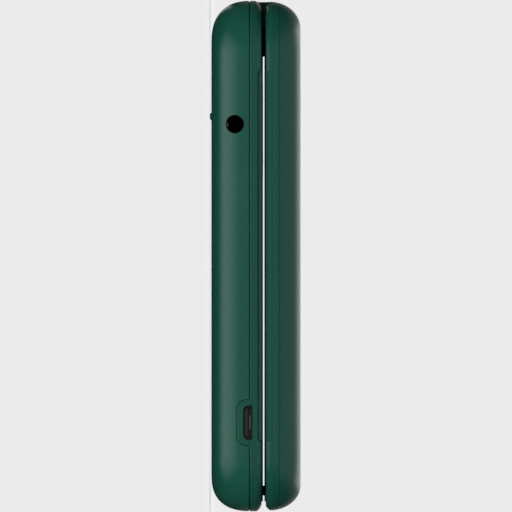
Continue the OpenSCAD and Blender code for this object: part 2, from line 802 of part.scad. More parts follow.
// Solid shoulders and the wall round the notch.
module hinge_mass() {
    wall_r = notch_r + 1;
    x_rod(wall_r, -notch_half - 1, notch_half + 1, axis_y, axis_z);
    for (x = [-1, 1])
        translate([x * (notch_half + 3), 0, 0])
            block([-3.2, axis_y - wall_r + 1, lid_z - 1], [3.2, hinge_end, top_z + 1]);
}

module shaft_seats() {
    x_rod(shaft_r + 0.01, -shoulder_x - 0.05, 0, axis_y, axis_z);
    x_rod(knuckle_bore_r - run_clear + 0.01, 0, shoulder_x + 0.05, axis_y, axis_z);
    x_rod(shaft_r, 0, shoulder_x + 1.2, axis_y, axis_z);
}

module lid_cover() color(green) on_nubs()
    difference() {
        lid_outside(lid_parting_z + lid_seam, top_z);
        difference() {
            lid_inside(lid_parting_z - 1);
            hinge_mass();
            for (x = [-lid_screw_x, lid_screw_x])
                for (y = lid_screw_ys)
                    translate([x, y, lid_z]) cylinder(r = boss_r, h = lid_t);
        }
        knuckle_notch();
        shaft_seats();
        translate([0, window_y, 0]) plate(window_w + fit, window_l + fit, 4.05, top_z - window_t, 2);
        translate([0, window_y, 0]) plate(window_w - 3, window_l - 3, 0.8, lid_parting_z, lid_t);
        translate([camera_x, camera_y, top_z - window_t]) cylinder(r = camera_r + fit / 2, h = 2);
        translate([camera_x, camera_y, lid_parting_z]) cylinder(r = camera_r - 0.7, h = lid_t);
        translate([flash_x, camera_y, top_z - window_t]) cylinder(r = flash_r + fit / 2, h = 2);
        translate([flash_x, camera_y, lid_parting_z]) cylinder(r = flash_r - 0.5, h = lid_t);
        for (x = [-lid_screw_x, lid_screw_x])
            for (y = lid_screw_ys)
                translate([x, y, lid_z]) cylinder(r = screw_r, h = lid_frame_h + 2);
    }

module lid_frame() color(green) on_nubs() {
    pocket_y1 = axis_y - notch_r - 4.5;
    difference() {
        lid_outside(lid_z, lid_parting_z);
        face_plate(0, lid_z - 1, glass_t + 0.82);
        difference() {
            translate([0, (pocket_y1 - hinge_end + 2) / 2, 0])
                plate(phone_w - 4, pocket_y1 + hinge_end - 2, corner_r - 2, display_z + 1, lid_t);
            for (x = [-lid_screw_x, lid_screw_x])
                translate([x, lid_screw_ys[1], lid_z]) cylinder(r = boss_r, h = lid_t);
        }
        translate([0, display_y, 0]) plate(display_w + 0.4, display_l + 0.4, 1, lid_z, lid_t);
        translate([0, earpiece_y, 0])
            plate(earpiece_w + 2 * fence_gap, earpiece_l + 2 * fence_gap, 1, lid_z, lid_t);
        translate([magnet_x, magnet_y, 0]) cylinder(r = magnet_r + fit, h = top_z);
        knuckle_notch();
        shaft_seats();
        finger_recess(lid_z - 1, lid_z + recess_h, recess_d, phone_w - 2 * lid_inset);
        for (x = [-lid_screw_x, lid_screw_x])
            for (y = lid_screw_ys) {
                translate([x, y, lid_z - 1]) cylinder(r = screw_r + 0.05, h = lid_t);
                translate([x, y, lid_z - 1])
                    cylinder(r = head_r + fit, h = lid_head_z + head_h + eps - lid_z + 1);
            }
    }
}

module display_glass() color(black) on_nubs()
    difference() {
        face_plate(0.05, glass_z, glass_t);
        translate([0, earpiece_y, 0]) plate(earpiece_w - 3, 1.2, 0.55, lid_z - 1, lid_t);
    }

module main_display() color("#0b0d12") on_nubs() translate([0, display_y, 0])
    plate(display_w, display_l, 0.6, display_z, display_t);

module earpiece() color("#2b2d2f") on_nubs() translate([0, earpiece_y, 0])
    plate(earpiece_w, earpiece_l, 0.8, display_z, display_t);

module lid_magnet() color("#8b8e91") on_nubs()
    translate([magnet_x, magnet_y, display_z]) cylinder(r = magnet_r, h = magnet_t);

module lid_board() color("#1d5a33") on_nubs()
    difference() {
        translate([0, plate_y1 - lid_board_from - lid_board_l / 2, 0])
            plate(lid_board_w, lid_board_l, 2, lid_board_z, board_t);
        translate([camera_x, camera_y, 0]) cylinder(r = 4.6, h = top_z);
    }

module outer_display() color("#0e1115") on_nubs() translate([0, window_y, 0])
    plate(window_w - 3.6, window_l - 3.6, 0.6, lid_board_z + board_t + 0.1,
        top_z - window_t - 0.1 - lid_board_z - board_t - 0.1);

module outer_window() color(black) on_nubs() translate([0, window_y, 0])
    plate(window_w, window_l, 4, top_z - window_t, window_t);

module camera_module() color("#232629") on_nubs() translate([camera_x, camera_y, 0]) {
    translate([-3.1, -3.1, lid_parting_z]) cube([6.2, 6.2, 2.2]);
    translate([0, 0, lid_parting_z + 2]) cylinder(r = 2.9, h = top_z - window_t - 0.1 - lid_parting_z - 2);
}

module camera_window() color(black) on_nubs()
    translate([camera_x, camera_y, top_z - window_t]) cylinder(r = camera_r, h = window_t);

module flash_lens() color("#e8e6d8") on_nubs() translate([flash_x, camera_y, 0]) {
    translate([0, 0, top_z - window_t]) cylinder(r = flash_r, h = window_t);
    translate([0, 0, lid_board_z + board_t + 0.1])
        cylinder(r = flash_r - 0.6, h = top_z - window_t - lid_board_z - board_t);
}

module lid_screws() color("#9a9da0") on_nubs()
    for (x = [-lid_screw_x, lid_screw_x])
        for (y = lid_screw_ys)
            translate([x, y, 0]) screw(lid_head_z, lid_z + lid_frame_h + 1.6);

module bumpers() color("#0d0d0d") on_nubs()
    for (x = [-bumper_x, bumper_x])
        translate([x, -hinge_end + bumper_from, plate_top + 0.03])
            cylinder(r = bumper_r, h = glass_z - plate_top - 0.03);

// ---- Nodes ---------------------------------------------------------------

back_cover();
base_housing();
base_chassis();
keypad_plate();
keypad_mat();
dome_sheet();
main_board();
battery();
battery_contacts();
sim_socket();
loudspeaker();
headphone_jack();
usb_socket();
usb_tongue();
microphone();
vibration_motor();
antenna();
base_screws();
hinge_knuckle();
hinge_pad();
hinge_can();
hinge_spring();
number_key(0);  // key_1
number_key(1);  // key_2
number_key(2);  // key_3
number_key(3);  // key_4
number_key(4);  // key_5
number_key(5);  // key_6
number_key(6);  // key_7
number_key(7);  // key_8
number_key(8);  // key_9
number_key(9);  // key_star
number_key(10);  // key_0
number_key(11);  // key_hash
upper_key(-1, 1);  // soft_key_left
upper_key(1, 1);  // soft_key_right
upper_key(-1, -1);  // call_key
upper_key(1, -1);  // end_key
ok_key();
nav_gimbal();
nav_ring();
volume_rocker();
side_key();
lid_cover();
lid_frame();
display_glass();
main_display();
outer_window();
outer_display();
camera_module();
camera_window();
flash_lens();
earpiece();
lid_board();
lid_magnet();
lid_screws();
bumpers();
hinge_shaft();
hinge_bush();
hinge_flex();
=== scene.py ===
"""A folded clamshell phone: painted shells, hinge, keypad, windows and ports, dressed over its CAD frame.

Lengths inside the shape functions are millimetres, measured from the phone's back plane; make_piece()
turns them into metres and lifts them onto the two stand-off nubs.
"""

import math

import bmesh
import bpy
import numpy as np
from mathutils import Matrix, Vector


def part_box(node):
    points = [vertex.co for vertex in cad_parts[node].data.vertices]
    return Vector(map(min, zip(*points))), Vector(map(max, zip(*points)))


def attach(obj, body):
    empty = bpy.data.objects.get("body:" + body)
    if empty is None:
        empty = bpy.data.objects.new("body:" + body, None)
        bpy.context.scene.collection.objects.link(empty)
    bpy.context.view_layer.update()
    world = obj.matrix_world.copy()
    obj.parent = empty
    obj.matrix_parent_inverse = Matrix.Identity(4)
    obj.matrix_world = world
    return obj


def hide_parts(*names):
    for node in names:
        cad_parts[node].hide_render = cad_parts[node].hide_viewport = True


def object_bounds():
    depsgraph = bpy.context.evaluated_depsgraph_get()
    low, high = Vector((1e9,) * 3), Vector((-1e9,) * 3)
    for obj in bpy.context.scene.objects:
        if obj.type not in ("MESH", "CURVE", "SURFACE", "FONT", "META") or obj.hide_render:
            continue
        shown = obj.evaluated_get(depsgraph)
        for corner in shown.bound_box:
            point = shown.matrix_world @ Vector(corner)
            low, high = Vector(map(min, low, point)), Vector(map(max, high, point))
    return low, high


bl_info = {
    "name": "Clamshell Phone",
    "version": (1, 0, 0),
    "blender": (4, 5, 0),
    "location": "3D View > Sidebar > Phone",
    "description": "Builds the painted shells, keys, glass and fittings of a folding phone",
    "category": "Object",
}

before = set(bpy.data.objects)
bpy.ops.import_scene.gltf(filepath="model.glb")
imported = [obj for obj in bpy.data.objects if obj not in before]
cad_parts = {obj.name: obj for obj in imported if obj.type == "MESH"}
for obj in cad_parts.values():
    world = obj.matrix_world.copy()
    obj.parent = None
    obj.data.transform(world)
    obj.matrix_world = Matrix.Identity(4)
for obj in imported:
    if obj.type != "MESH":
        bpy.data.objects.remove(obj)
CAD_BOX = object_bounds()
MM = 1000.0
NUB_H = 0.36
HALF_W, HALF_L = ((CAD_BOX[1][i] - CAD_BOX[0][i]) * MM / 2 for i in (0, 1))

# Places along the phone, counted from its open end (-y) or its hinge end (+y).
OUTSIDE = -HALF_W - 1
USB_Y = -HALF_L + 18.88
JACK_Y, JACK_Z = HALF_L - 26.2, 5.0
VOLUME_Y, SIDE_KEY_Y = JACK_Y + 1, JACK_Y - 18
NUB_X, NUB_Y = 9, HALF_L - 24.3
WINDOW_Y, CAMERA_Y, CAMERA_X, FLASH_X = HALF_L - 42, HALF_L - 16, -6.0, 5.5


def span(node):
    """Lowest and highest corner of a CAD node in millimetres, with z from the phone's back plane."""
    lift = np.array([0.0, 0.0, NUB_H])
    return [np.array(c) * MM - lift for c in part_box(node)]


def plan(node):
    """A CAD node seen from above: x and y of its middle, half its width and half its length."""
    low, high = span(node)
    return *((low + high) / 2)[:2], *((high - low) / 2)[:2]


# ---- Sizes and colours -------------------------------------------------------


def length(name, about, mm):
    """A length property: written in millimetres here, kept in metres, up to 100 mm."""
    return bpy.props.FloatProperty(
        name=name, description=about, default=mm / MM, min=0.0, max=0.1, unit="LENGTH", precision=5
    )


def colour(name, about, rgb):
    """A colour property from 0-255 display values, kept linear."""
    return bpy.props.FloatVectorProperty(
        name=name, description=about, default=linear(rgb), min=0.0, max=1.0, size=3, subtype="COLOR"
    )


def linear(rgb):
    """Display values 0-255 to linear light: the usual piecewise power curve."""
    c = np.array(rgb, float) / 255
    return tuple(np.where(c <= 0.04045, c / 12.92, ((c + 0.055) / 1.055) ** 2.4))


class PhoneSizes(bpy.types.PropertyGroup):
    base_t: length("Base thickness", "Back plane to the base's shell edge", 10.6)
    lid_t: length("Lid thickness", "Shell edge to outer face of the lid", 7.4)
    gap: length("Gap", "Between the two shell edges when folded", 0.9)
    lid_inset: length("Lid inset", "How far the lid stays inside the base's outline", 0.17)
    corner_r: length("Corner radius", "Corners seen from above", 10.0)
    seam_z: length("Back cover height", "Where the back cover ends", 7.95)
    seam: length("Seam", "Between back cover and housing", 0.15)
    lid_frame_h: length("Lid frame height", "Where the lid's inner frame ends", 2.85)
    lip_h: length("Inner edge height", "Height of the rounded inner edges", 1.15)
    recess_d: length("Recess depth", "Depth of the finger recess along the sides", 0.6)
    hinge_in: length("Hinge inset", "Hinge end to hinge axis", 3.0)
    knuckle_r: length("Knuckle radius", "Radius of the fixed knuckle", 3.9)
    fillet: length("Seam fillet", "Rounding of the housing's lower edge", 0.28)


class PhoneColours(bpy.types.PropertyGroup):
    paint: colour("Paint", "Satin paint of the shells", (21, 77, 64))


def sizes():
    """The size properties in millimetres, with the heights and the hinge axis that follow from them."""
    group = bpy.context.scene.phone_sizes
    s = type("Sizes", (), {n: getattr(group, n) * MM for n in PhoneSizes.__annotations__})
    s.housing_z = s.seam_z + s.seam
    s.lid_z = s.base_t + s.gap
    s.top = s.lid_z + s.lid_t
    s.axis_y, s.axis_z = HALF_L - s.hinge_in, s.lid_z + 2.7
    return s


# ---- Surfaces ----------------------------------------------------------------

# Shares of a straight side at which an outline has points; SIDE has more of them at the recess's ends.
FEW = np.linspace(-1, 1, 3)
ENDS = np.linspace(-1, 1, 17)
SIDE = np.unique(
    np.concatenate([np.linspace(-1, 1, 33), [s * v for s in (-1, 1) for v in np.linspace(0.84, 0.93, 46)]])
)
SHARP = math.radians(32)


def outline(hw, y0, y1, r0, r1, side=SIDE, ends=ENDS, arc=20):
    """Rounded rectangles, anticlockwise: straight runs at given shares of each side and quarter circles.

    The corners at y0 have radius r0 and those at y1 radius r1. Arrays give one outline per entry.
    """
    values = np.broadcast_arrays(hw, y0, y1, r0, r1)
    hw, y0, y1, r0, r1 = (np.atleast_1d(np.asarray(v, float))[:, None] for v in values)
    a = np.linspace(0, np.pi / 2, arc, endpoint=False)
    t = (side[:-1] + 1) / 2
    s = (ends[:-1] + 1) / 2
    low, high = y0 + r0, y1 - r1
    c, n = np.cos(a), np.sin(a)
    x = [
        hw + 0 * t, hw - r1 + r1 * c, (hw - r1) * (1 - 2 * s), -hw + r1 - r1 * n,
        -hw + 0 * t, -hw + r0 - r0 * c, (hw - r0) * (2 * s - 1), hw - r0 + r0 * n,
    ]  # fmt: skip
    y = [
        low + (high - low) * t, high + r1 * n, y1 + 0 * s, high + r1 * c,
        high - (high - low) * t, low - r0 * n, y0 + 0 * s, low - r0 * c,
    ]  # fmt: skip
    return np.concatenate(x, axis=1), np.concatenate(y, axis=1)


def loft(rings, loop=False):
    """Points and quads through rings of equal count; rising anticlockwise rings face outwards.

    With loop the last ring joins the first, otherwise both ends are closed by one flat face each.
    """
    m, n, _ = rings.shape
    k = np.arange(m if loop else m - 1)[:, None]
    i = np.arange(n)[None, :]
    j, up = (i + 1) % n, (k + 1) % m
    quads = np.stack([k * n + i, k * n + j, up * n + j, up * n + i], axis=-1).reshape(-1, 4)
    faces = quads.tolist()
    if not loop:
        faces.append(list(range(n - 1, -1, -1)))
        faces.append(list(range((m - 1) * n, m * n)))
    return rings.reshape(-1, 3), faces


def stack(x, y, z):
    """Rings from outlines x, y and one height per ring."""
    return np.stack([x, y, np.broadcast_to(np.asarray(z, float)[:, None], x.shape)], axis=-1)


def join(*parts):
    """Several (points, faces) pairs as one."""
    points, faces, start = [], [], 0
    for p, f in parts:
        points.append(p)
        faces += [[i + start for i in face] for face in f]
        start += len(p)
    return np.concatenate(points), faces


def lengthwise(axis, u, v, w, centre):
    """A closed body from sections u, v at places w along an axis: x, y for axis z, and y, z for axis x."""
    rings = {"z": [u, v, w], "x": [w, u, v]}[axis]
    return loft(np.stack(rings, axis=-1) + np.array(centre, float))


def turned(profile, steps, centre, axis="z"):
    """A closed body of revolution: (radius, height) pairs carried round an axis, poles closed by a face."""
    profile = np.asarray(profile, float)
    a = np.linspace(0, 2 * np.pi, steps, endpoint=False)
    r, height = profile[:, :1], profile[:, 1:]
    return lengthwise(axis, r * np.cos(a), r * np.sin(a), height + 0 * a, centre)


def tube(shape, steps):
    """A body of revolution given as an outline that returns on itself: its two ends are joined."""
    return loft(shape[0].reshape(-1, steps, 3), loop=True)


def bar(axis, stops, hw, b0, b1, r0, r1=None, centre=(0, 0, 0), arc=10):
    """A rounded-rectangle bar along an axis: (place, growth) stops, half width hw, breadth from b0 to b1.

    Growth moves the whole outline out. The corners at b0 have radius r0 and those at b1 radius r1.
    """
    pos, grow = np.array(stops, float).T
    radii = [np.maximum(r + grow, 0.02) for r in (r0, r0 if r1 is None else r1)]
    u, v = outline(hw + grow, b0 - grow, b1 + grow, *radii, FEW, FEW, arc)
    return lengthwise(axis, u, v, pos[:, None] + 0 * u, centre)


def quarter(r, n=5):
    """Offsets (in, up) of a quarter-circle fillet from upright to level."""
    a = np.linspace(0, np.pi / 2, n)
    return r * (1 - np.cos(a)), r * np.sin(a)


def bend(x, z, r, n, side=-1, up=1):
    """Profile points of a quarter circle that starts upright at (x, z) and turns level to one side."""
    return [(x + side * i, z + up * u) for i, u in zip(*quarter(r, n))]


def round_over(low, high, r, n=5, both=False):
    """(place, growth) stops of a bar whose upper end, or both ends, has a quarter-circle edge of radius r."""
    foot = [(z, g) for g, z in bend(0, low + r, r, n, up=-1)[::-1]] if both else [(low, 0.0)]
    return foot + [(z, g) for g, z in bend(0, high - r, r, n)]


def moved_out(ring, d):
    """A closed plane ring moved outwards by d along its point normals (anticlockwise rings)."""
    runs = [np.roll(ring, -1, axis=0) - ring, ring - np.roll(ring, 1, axis=0)]
    t = sum(run / np.linalg.norm(run, axis=1, keepdims=True) for run in runs)
    t /= np.maximum(np.linalg.norm(t, axis=1, keepdims=True), 1e-9)
    return ring + d * np.stack([t[:, 1], -t[:, 0]], axis=-1)


def spun(ring, turn):
    """A plane ring turned round the origin by an angle."""
    c, n = math.cos(turn), math.sin(turn)
    return ring @ np.array([[c, n], [-n, c]])


# ---- Pieces ------------------------------------------------------------------


def put(name, data):
    """An object for a mesh, light, camera or text, linked to the scene."""
    obj = bpy.data.objects.new(name, data)
    bpy.context.scene.collection.objects.link(obj)
    return obj


def dress(obj, look, body, *replaces):
    """Gives a piece its finish and the body that it rides on, and hides the CAD nodes that it replaces."""
    obj.data.materials.append(finish(look))
    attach(obj, body)
    if replaces:
        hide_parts(*replaces)


def make_piece(name, shape, *facts):
    """An object from a (points, faces) shape in millimetres from the back plane; dress() gets the facts."""
    points, faces = shape
    mesh = bpy.data.meshes.new(name)
    mesh.from_pydata((points + np.array([0, 0, NUB_H])) / MM, [], faces)
    mesh.update()
    shade(mesh)
    obj = put(name, mesh)
    if facts:
        dress(obj, *facts)
    return obj


def shade(mesh):
    """Smooth shading, with edges kept sharp above an angle."""
    mesh.shade_smooth()
    mesh.set_sharp_from_angle(angle=SHARP)


def evaluated_mesh(obj):
    """A new mesh of an object as its modifiers or its text leave it."""
    bpy.context.view_layer.update()
    return bpy.data.meshes.new_from_object(obj.evaluated_get(bpy.context.evaluated_depsgraph_get()))


def bake(obj):
    """Puts the result of a piece's modifiers into its mesh."""
    mesh = evaluated_mesh(obj)
    if len(mesh.polygons) < 8:
        raise RuntimeError(f"{obj.name}: the cut left nothing")
    obj.modifiers.clear()
    old, obj.data = obj.data, mesh
    mesh.name = old.name
    bpy.data.meshes.remove(old)


def carve(obj, *shapes, mode="DIFFERENCE"):
    """Cuts (points, faces) shapes or other pieces out of a piece, with exact booleans, and removes them.

    The mode can also be UNION or INTERSECT. Large flat faces then set their border's normals.
    """
    helpers = [shape if isinstance(shape, bpy.types.Object) else make_piece(mode, shape) for shape in shapes]
    for helper in helpers:
        mod = obj.modifiers.new(helper.name, "BOOLEAN")
        mod.operation, mod.solver, mod.object = mode, "EXACT", helper
    bake(obj)
    for helper in helpers:
        data = helper.data
        bpy.data.objects.remove(helper)
        bpy.data.meshes.remove(data)
    shade(obj.data)
    obj.modifiers.new("normals", "WEIGHTED_NORMAL").keep_sharp = True
    bake(obj)


# ---- Form of the shells ------------------------------------------------------

# Width, height and fullness of the rounding between face and side.
BASE_EDGE = (8.9, 8.6, 2.5)
LID_EDGE = (7.6, 6.6, 2.0)
BASE_WALL, LID_WALL = 1.3, 1.1
# The rounding is narrower at the ends than along the sides, by these shares.
BASE_OPEN, LID_OPEN, LID_HINGE = 0.854, 0.7, 0.76
# Inner edges at sides, open end and hinge end: share of the face's rounding, extra height, fullness, inset.
BASE_LIPS = ((1.0, 0.0, 2.0, 0.6), (1.0, 0.0, 1.5, 1.45), (1.0, 0.15, 1.2, 1.45))
LID_LIPS = ((1.0, 0.2, 1.3, 0.76), (LID_OPEN, 0.0, 1.5, 1.1), (LID_HINGE, 0.0, 1.3, 1.3))
# The finger recess: its ends from the phone's ends, its end radius, its border, and its height in each half.
RECESS_FROM, RECESS_TO, RECESS_R, RECESS_SLOPE = 14.85, 14.95, 0.8, 0.5
BASE_RECESS_H, LID_RECESS_H = 0.88, 1.3
# Half widths of the fixed knuckle and of its room in the lid.
KNUCKLE_HALF, NOTCH_HALF = 13.85, 14.0
# The pocket of plate and glass: half width, room at the open end and at the hinge end, and corner radii.
POCKET_HALF, POCKET_FROM, POCKET_TO, POCKET_R = 25.4, 2.0, 11.7, (8, 3)
# The lid's inner wall: half width, both ends and corner radii.
LID_INSIDE = 24.6, -50.6, 44.6, 7, 4
# Data port: half width, lower and upper side, and radii of the lower and upper corners.
MOUTH_HALF, MOUTH_LOW, MOUTH_HIGH, MOUTH_R = 3.58, 6.75, 8.73, (1.15, 0.22)
SURROUND_HALF, SURROUND_LOW, SURROUND_HIGH, SURROUND_R = 4.81, 5.33, 9.0, (2.2, 0.02)


def edge_in(edge, z):
    """Inset of a rounded face edge at a distance z from the face: a superellipse."""
    d, h, n = edge
    u = np.clip((h - z) / h, 0, 1)
    return d * (1 - (1 - u**n) ** (1 / n))


def edge_upto(edge, limit, steps, wall=0.0):
    """Distances from the face and insets along an edge, up to a limit; wall moves both inwards."""
    d, h, n = edge
    a = np.linspace(np.pi / 2, 0, steps)
    z = (h - wall) * (1 - np.sin(a) ** (2 / n)) + wall
    inset = d * (1 - np.cos(a) ** (2 / n)) + wall
    return z[z < limit], inset[z < limit]


def side_insets(s, edge, lips, from_face, from_edge):
    """Insets of sides, open end and hinge end, at distances from the face and from the inner edge.

    Each is a share of the face's rounding, plus a quarter superellipse that rounds the inner edge.
    """
    insets = []
    for share, more, n, most in lips:
        h = s.lip_h + more
        u = np.clip((h - from_edge) / h, 0, 1)
        insets.append(edge_in(edge, from_face) * share + (1 - (1 - u**n) ** (1 / n)) * most)
    return insets


def recess_mask(y, high, away):
    """1 inside the finger recess and 0 outside: a slot with round ends, open at the shell's edge.

    away is the distance from the shell's edge. The border is a quarter circle, level with the recess inside.
    """
    y0, y1 = -HALF_L + RECESS_FROM, HALF_L - RECESS_TO
    mid, half = (y0 + y1) / 2, (y1 - y0) / 2
    qy = np.abs(y - mid) - half + RECESS_R
    qz = away - high + RECESS_R
    d = np.hypot(np.maximum(qy, 0), np.maximum(qz, 0)) + np.minimum(np.maximum(qy, qz), 0) - RECESS_R
    return np.sqrt(1 - (1 - np.clip(-d / RECESS_SLOPE, 0, 1)) ** 2)


def sink_recess(rings, s, hw, away, high):
    """Presses the finger recess into the long sides: points outside its depth move in to it."""
    x, y = rings[..., 0], rings[..., 1]
    limit = hw - s.recess_d * recess_mask(y, high, away)
    straight = np.abs(y) < HALF_L - s.corner_r - 1
    rings[..., 0] = np.where(straight, np.sign(x) * np.minimum(np.abs(x), limit), x)
    return rings


def shell_rings(s, z, side_in, open_in=None, hinge_in=None, inside=0.0):
    """Rounded-rectangle rings: half sizes less their insets, corners tightened by 0.6 of the larger inset.

    The open end is the one at -y, the hinge end the one at +y.
    """
    open_in, hinge_in = (side_in if v is None else v for v in (open_in, hinge_in))
    r0, r1 = (np.maximum(0.6, s.corner_r - 0.6 * np.maximum(side_in, v)) for v in (open_in, hinge_in))
    hw, hl = HALF_W - inside, HALF_L - inside
    return stack(*outline(hw - side_in, -(hl - open_in), hl - hinge_in, r0, r1), z)


def back_cover_shape(s):
    """Tray: face, rounded edge, filleted rim, inner wall and floor, as one closed loft."""
    z, inset = edge_upto(BASE_EDGE, s.seam_z - s.fillet, 44)
    rim = s.fillet / 4
    f_in, f_up = quarter(rim)
    top_z = s.seam_z - rim + f_up
    top_in = edge_in(BASE_EDGE, s.seam_z - rim) + f_in
    iz, iin = edge_upto(BASE_EDGE, s.seam_z - 0.1, 14, BASE_WALL)
    flat = BASE_EDGE[0] + 2, BASE_EDGE[0] + 0.4
    zs = np.concatenate([[0, 0], z, top_z, [s.seam_z, s.seam_z - 0.05], iz[::-1]])
    ins = np.concatenate([flat, inset, top_in, [1.25, BASE_WALL], iin[::-1]])
    outside = np.arange(len(ins)) < 2 + len(z) + len(top_z)
    return loft(shell_rings(s, zs, ins, ins * np.where(outside, BASE_OPEN, 1.0), ins))


def pocket_rings(grow, heights):
    """The pocket that keypad plate and glass share, with larger corners at the open end."""
    grow = np.full(len(heights), grow)
    y0, y1 = -HALF_L + POCKET_FROM - grow, HALF_L - POCKET_TO + grow
    return stack(*outline(POCKET_HALF + grow, y0, y1, *(r + grow for r in POCKET_R)), heights)


def plate_shape(node, stops):
    """A plate in that pocket, as wide and long as its CAD node, from (place, growth) stops."""
    low, high = span(node)
    z, grow = np.array(stops).T
    x, y = outline(high[0] + grow, low[1] - grow, high[1] + grow, *(r - 0.05 + grow for r in POCKET_R))
    return loft(stack(x, y, z))


def housing_shape(s):
    """Ring: seam fillet, upright side with the finger recess, rounded inner edge, plate pocket and ledge."""
    z0 = s.housing_z
    f_in, f_up = quarter(s.fillet)
    low_z, low_in = z0 + s.fillet - f_up[::-1], edge_in(BASE_EDGE, z0 + s.fillet) + f_in[::-1]
    z = np.concatenate([
        np.linspace(z0 + s.fillet + 0.03, s.base_t - 1.12, 10),
        s.base_t - np.linspace(1.06, 0.36, 26),
        s.base_t - 0.3 + 0.3 * np.sin(np.linspace(0.3, np.pi / 2, 10)),
    ])  # fmt: skip
    insets = side_insets(s, BASE_EDGE, BASE_LIPS, z, s.base_t - z)
    rings = shell_rings(s, np.concatenate([low_z, z]), *(np.concatenate([low_in, inset]) for inset in insets))
    outer = sink_recess(rings, s, HALF_W, s.base_t - rings[..., 2], BASE_RECESS_H)
    rim = pocket_rings(-0.06, [s.base_t - 0.01, s.base_t - 0.06, s.base_t - 1.25])
    ledge = pocket_rings(-1.3, [s.base_t - 1.25, z0])
    return loft(np.concatenate([outer, rim, ledge]), loop=True)


def seam_shape(s):
    """The inner lip that closes the seam: a low ring behind it, sunk into both shells."""
    low, high = s.seam_z - 0.12, s.seam_z + 0.32
    return loft(shell_rings(s, [low, high, high, low], np.array([0.24, 0.24, 0.9, 0.9])), loop=True)


def lid_frame_shape(s):
    """Ring: rounded inner edge with the finger recess, side up to the parting, inner wall, glass pocket."""
    top = s.lid_z + s.lid_frame_h
    f = 0.05
    f_in, f_up = quarter(f, 4)
    z = np.concatenate([
        s.lid_z + 0.3 * (1 - np.sin(np.linspace(np.pi / 2, 0.3, 10))),
        s.lid_z + np.linspace(0.3, 1.34, 36),
        np.linspace(s.lid_z + 1.45, top - f - 0.03, 12),
    ])  # fmt: skip
    levels = [side_insets(s, LID_EDGE, LID_LIPS, s.top - v, v - s.lid_z) for v in (z, np.array([top - f]))]
    insets = [np.concatenate([low, high + f_in]) for low, high in zip(*levels)]
    rings = shell_rings(s, np.concatenate([z, top - f + f_up]), *insets, s.lid_inset)
    outer = sink_recess(rings, s, HALF_W - s.lid_inset, rings[..., 2] - s.lid_z, LID_RECESS_H)
    inner = np.concatenate([stack(*outline(*LID_INSIDE), [height]) for height in (top, s.lid_z + 0.9)])
    shelf = pocket_rings(-1.6, [s.lid_z + 0.86])
    pocket = pocket_rings(0.0, [s.lid_z + 0.82, s.lid_z + 0.06, s.lid_z + 0.005])
    return loft(np.concatenate([outer, inner, shelf, pocket]), loop=True)


def lid_cover_shape(s):
    """Dish turned over: outer face, rounded edge down to the parting, inner wall and ceiling."""
    low = s.lid_z + s.lid_frame_h + 0.05
    f_in, f_up = quarter(0.05, 4)
    rim = edge_in(LID_EDGE, s.top - low - 0.05)
    z, inset = edge_upto(LID_EDGE, s.top - low - 0.1, 60)
    iz, iin = edge_upto(LID_EDGE, s.top - low - 0.1, 14, LID_WALL)
    flat = LID_EDGE[0] + 0.4, LID_EDGE[0] + 2
    zs = np.concatenate([s.top - iz, [low, low], low + 0.05 - f_up[::-1], s.top - z[::-1], [s.top, s.top]])
    ins = np.concatenate([iin, [iin[-1] + 0.01, rim + 0.3], rim + f_in[::-1], inset[::-1], flat])
    outside = np.arange(len(ins)) > len(iin)
    ends = (ins * np.where(outside, share, 1.0) for share in (LID_OPEN, LID_HINGE))
    return loft(shell_rings(s, zs, ins, *ends, s.lid_inset))


def port_mouth(grow, x0, x1, flare=0.0):
    """The data port's mouth, with two large lower corners; it widens by flare at the outside."""
    stops = [(x0, flare), (x0 + 0.9, flare), (x0 + 1.02, 0.3 * flare), (x0 + 1.14, 0), (x1, 0)]
    stops = stops if flare else [(x0, 0), (x1, 0)]
    low, high = MOUTH_LOW - grow, MOUTH_HIGH + grow
    return bar("x", stops, MOUTH_HALF + grow, low, high, *MOUTH_R, (0, USB_Y, 0), 12)


def surround_bar(grow, x1):
    """The data port's surround from outside the shell to x1: round lower corners, open upwards."""
    ends, low = [(OUTSIDE, 0), (x1, 0)], SURROUND_LOW - grow
    return bar("x", ends, SURROUND_HALF + grow, low, SURROUND_HIGH, *SURROUND_R, (0, USB_Y, 0), 16)


def surround_plug(s):
    """The base's outer form between two heights, to be cut to the surround's outline."""
    z = np.linspace(4.6, s.housing_z + s.fillet, 30)
    return loft(shell_rings(s, z, edge_in(BASE_EDGE, z)))


def knuckle_ring(s):
    """Side view of knuckle and neck, in y and z: a round barrel held inside the lid's outline, on a foot."""
    a = np.linspace(-0.76, np.pi + 0.765, 70)
    y, z = s.axis_y + s.knuckle_r * np.cos(a), s.axis_z + s.knuckle_r * np.sin(a)
    end = HALF_L - s.lid_inset - LID_HINGE * edge_in(LID_EDGE, s.top - z)
    over = (a > np.pi / 2) & (y <= end)
    keep = (z > 11.72) & (over | ((a <= np.pi / 2) & (z < z[over][0])))
    barrel = np.column_stack([np.minimum(y, end), z])[keep]
    right = [[HALF_L - 0.2, 9.6], [HALF_L - 0.2, 11.6]]
    left = [[s.axis_y - 2.75, 11.5], [s.axis_y - 2.6, 11.4], [s.axis_y - 2.6, 9.8]]
    return np.concatenate([right, barrel, left])


def knuckle_shape(s, r=0.25):
    """That outline carried across, with a small round-over at both ends."""
    ring = knuckle_ring(s)
    f_in, f_up = quarter(r)
    xs = np.concatenate([-KNUCKLE_HALF + r - f_up[::-1], KNUCKLE_HALF - r + f_up])
    ins = np.concatenate([f_in[::-1], f_in])
    rings = [np.column_stack([np.full(len(ring), x), moved_out(ring, -d)]) for x, d in zip(xs, ins)]
    return loft(np.array(rings))


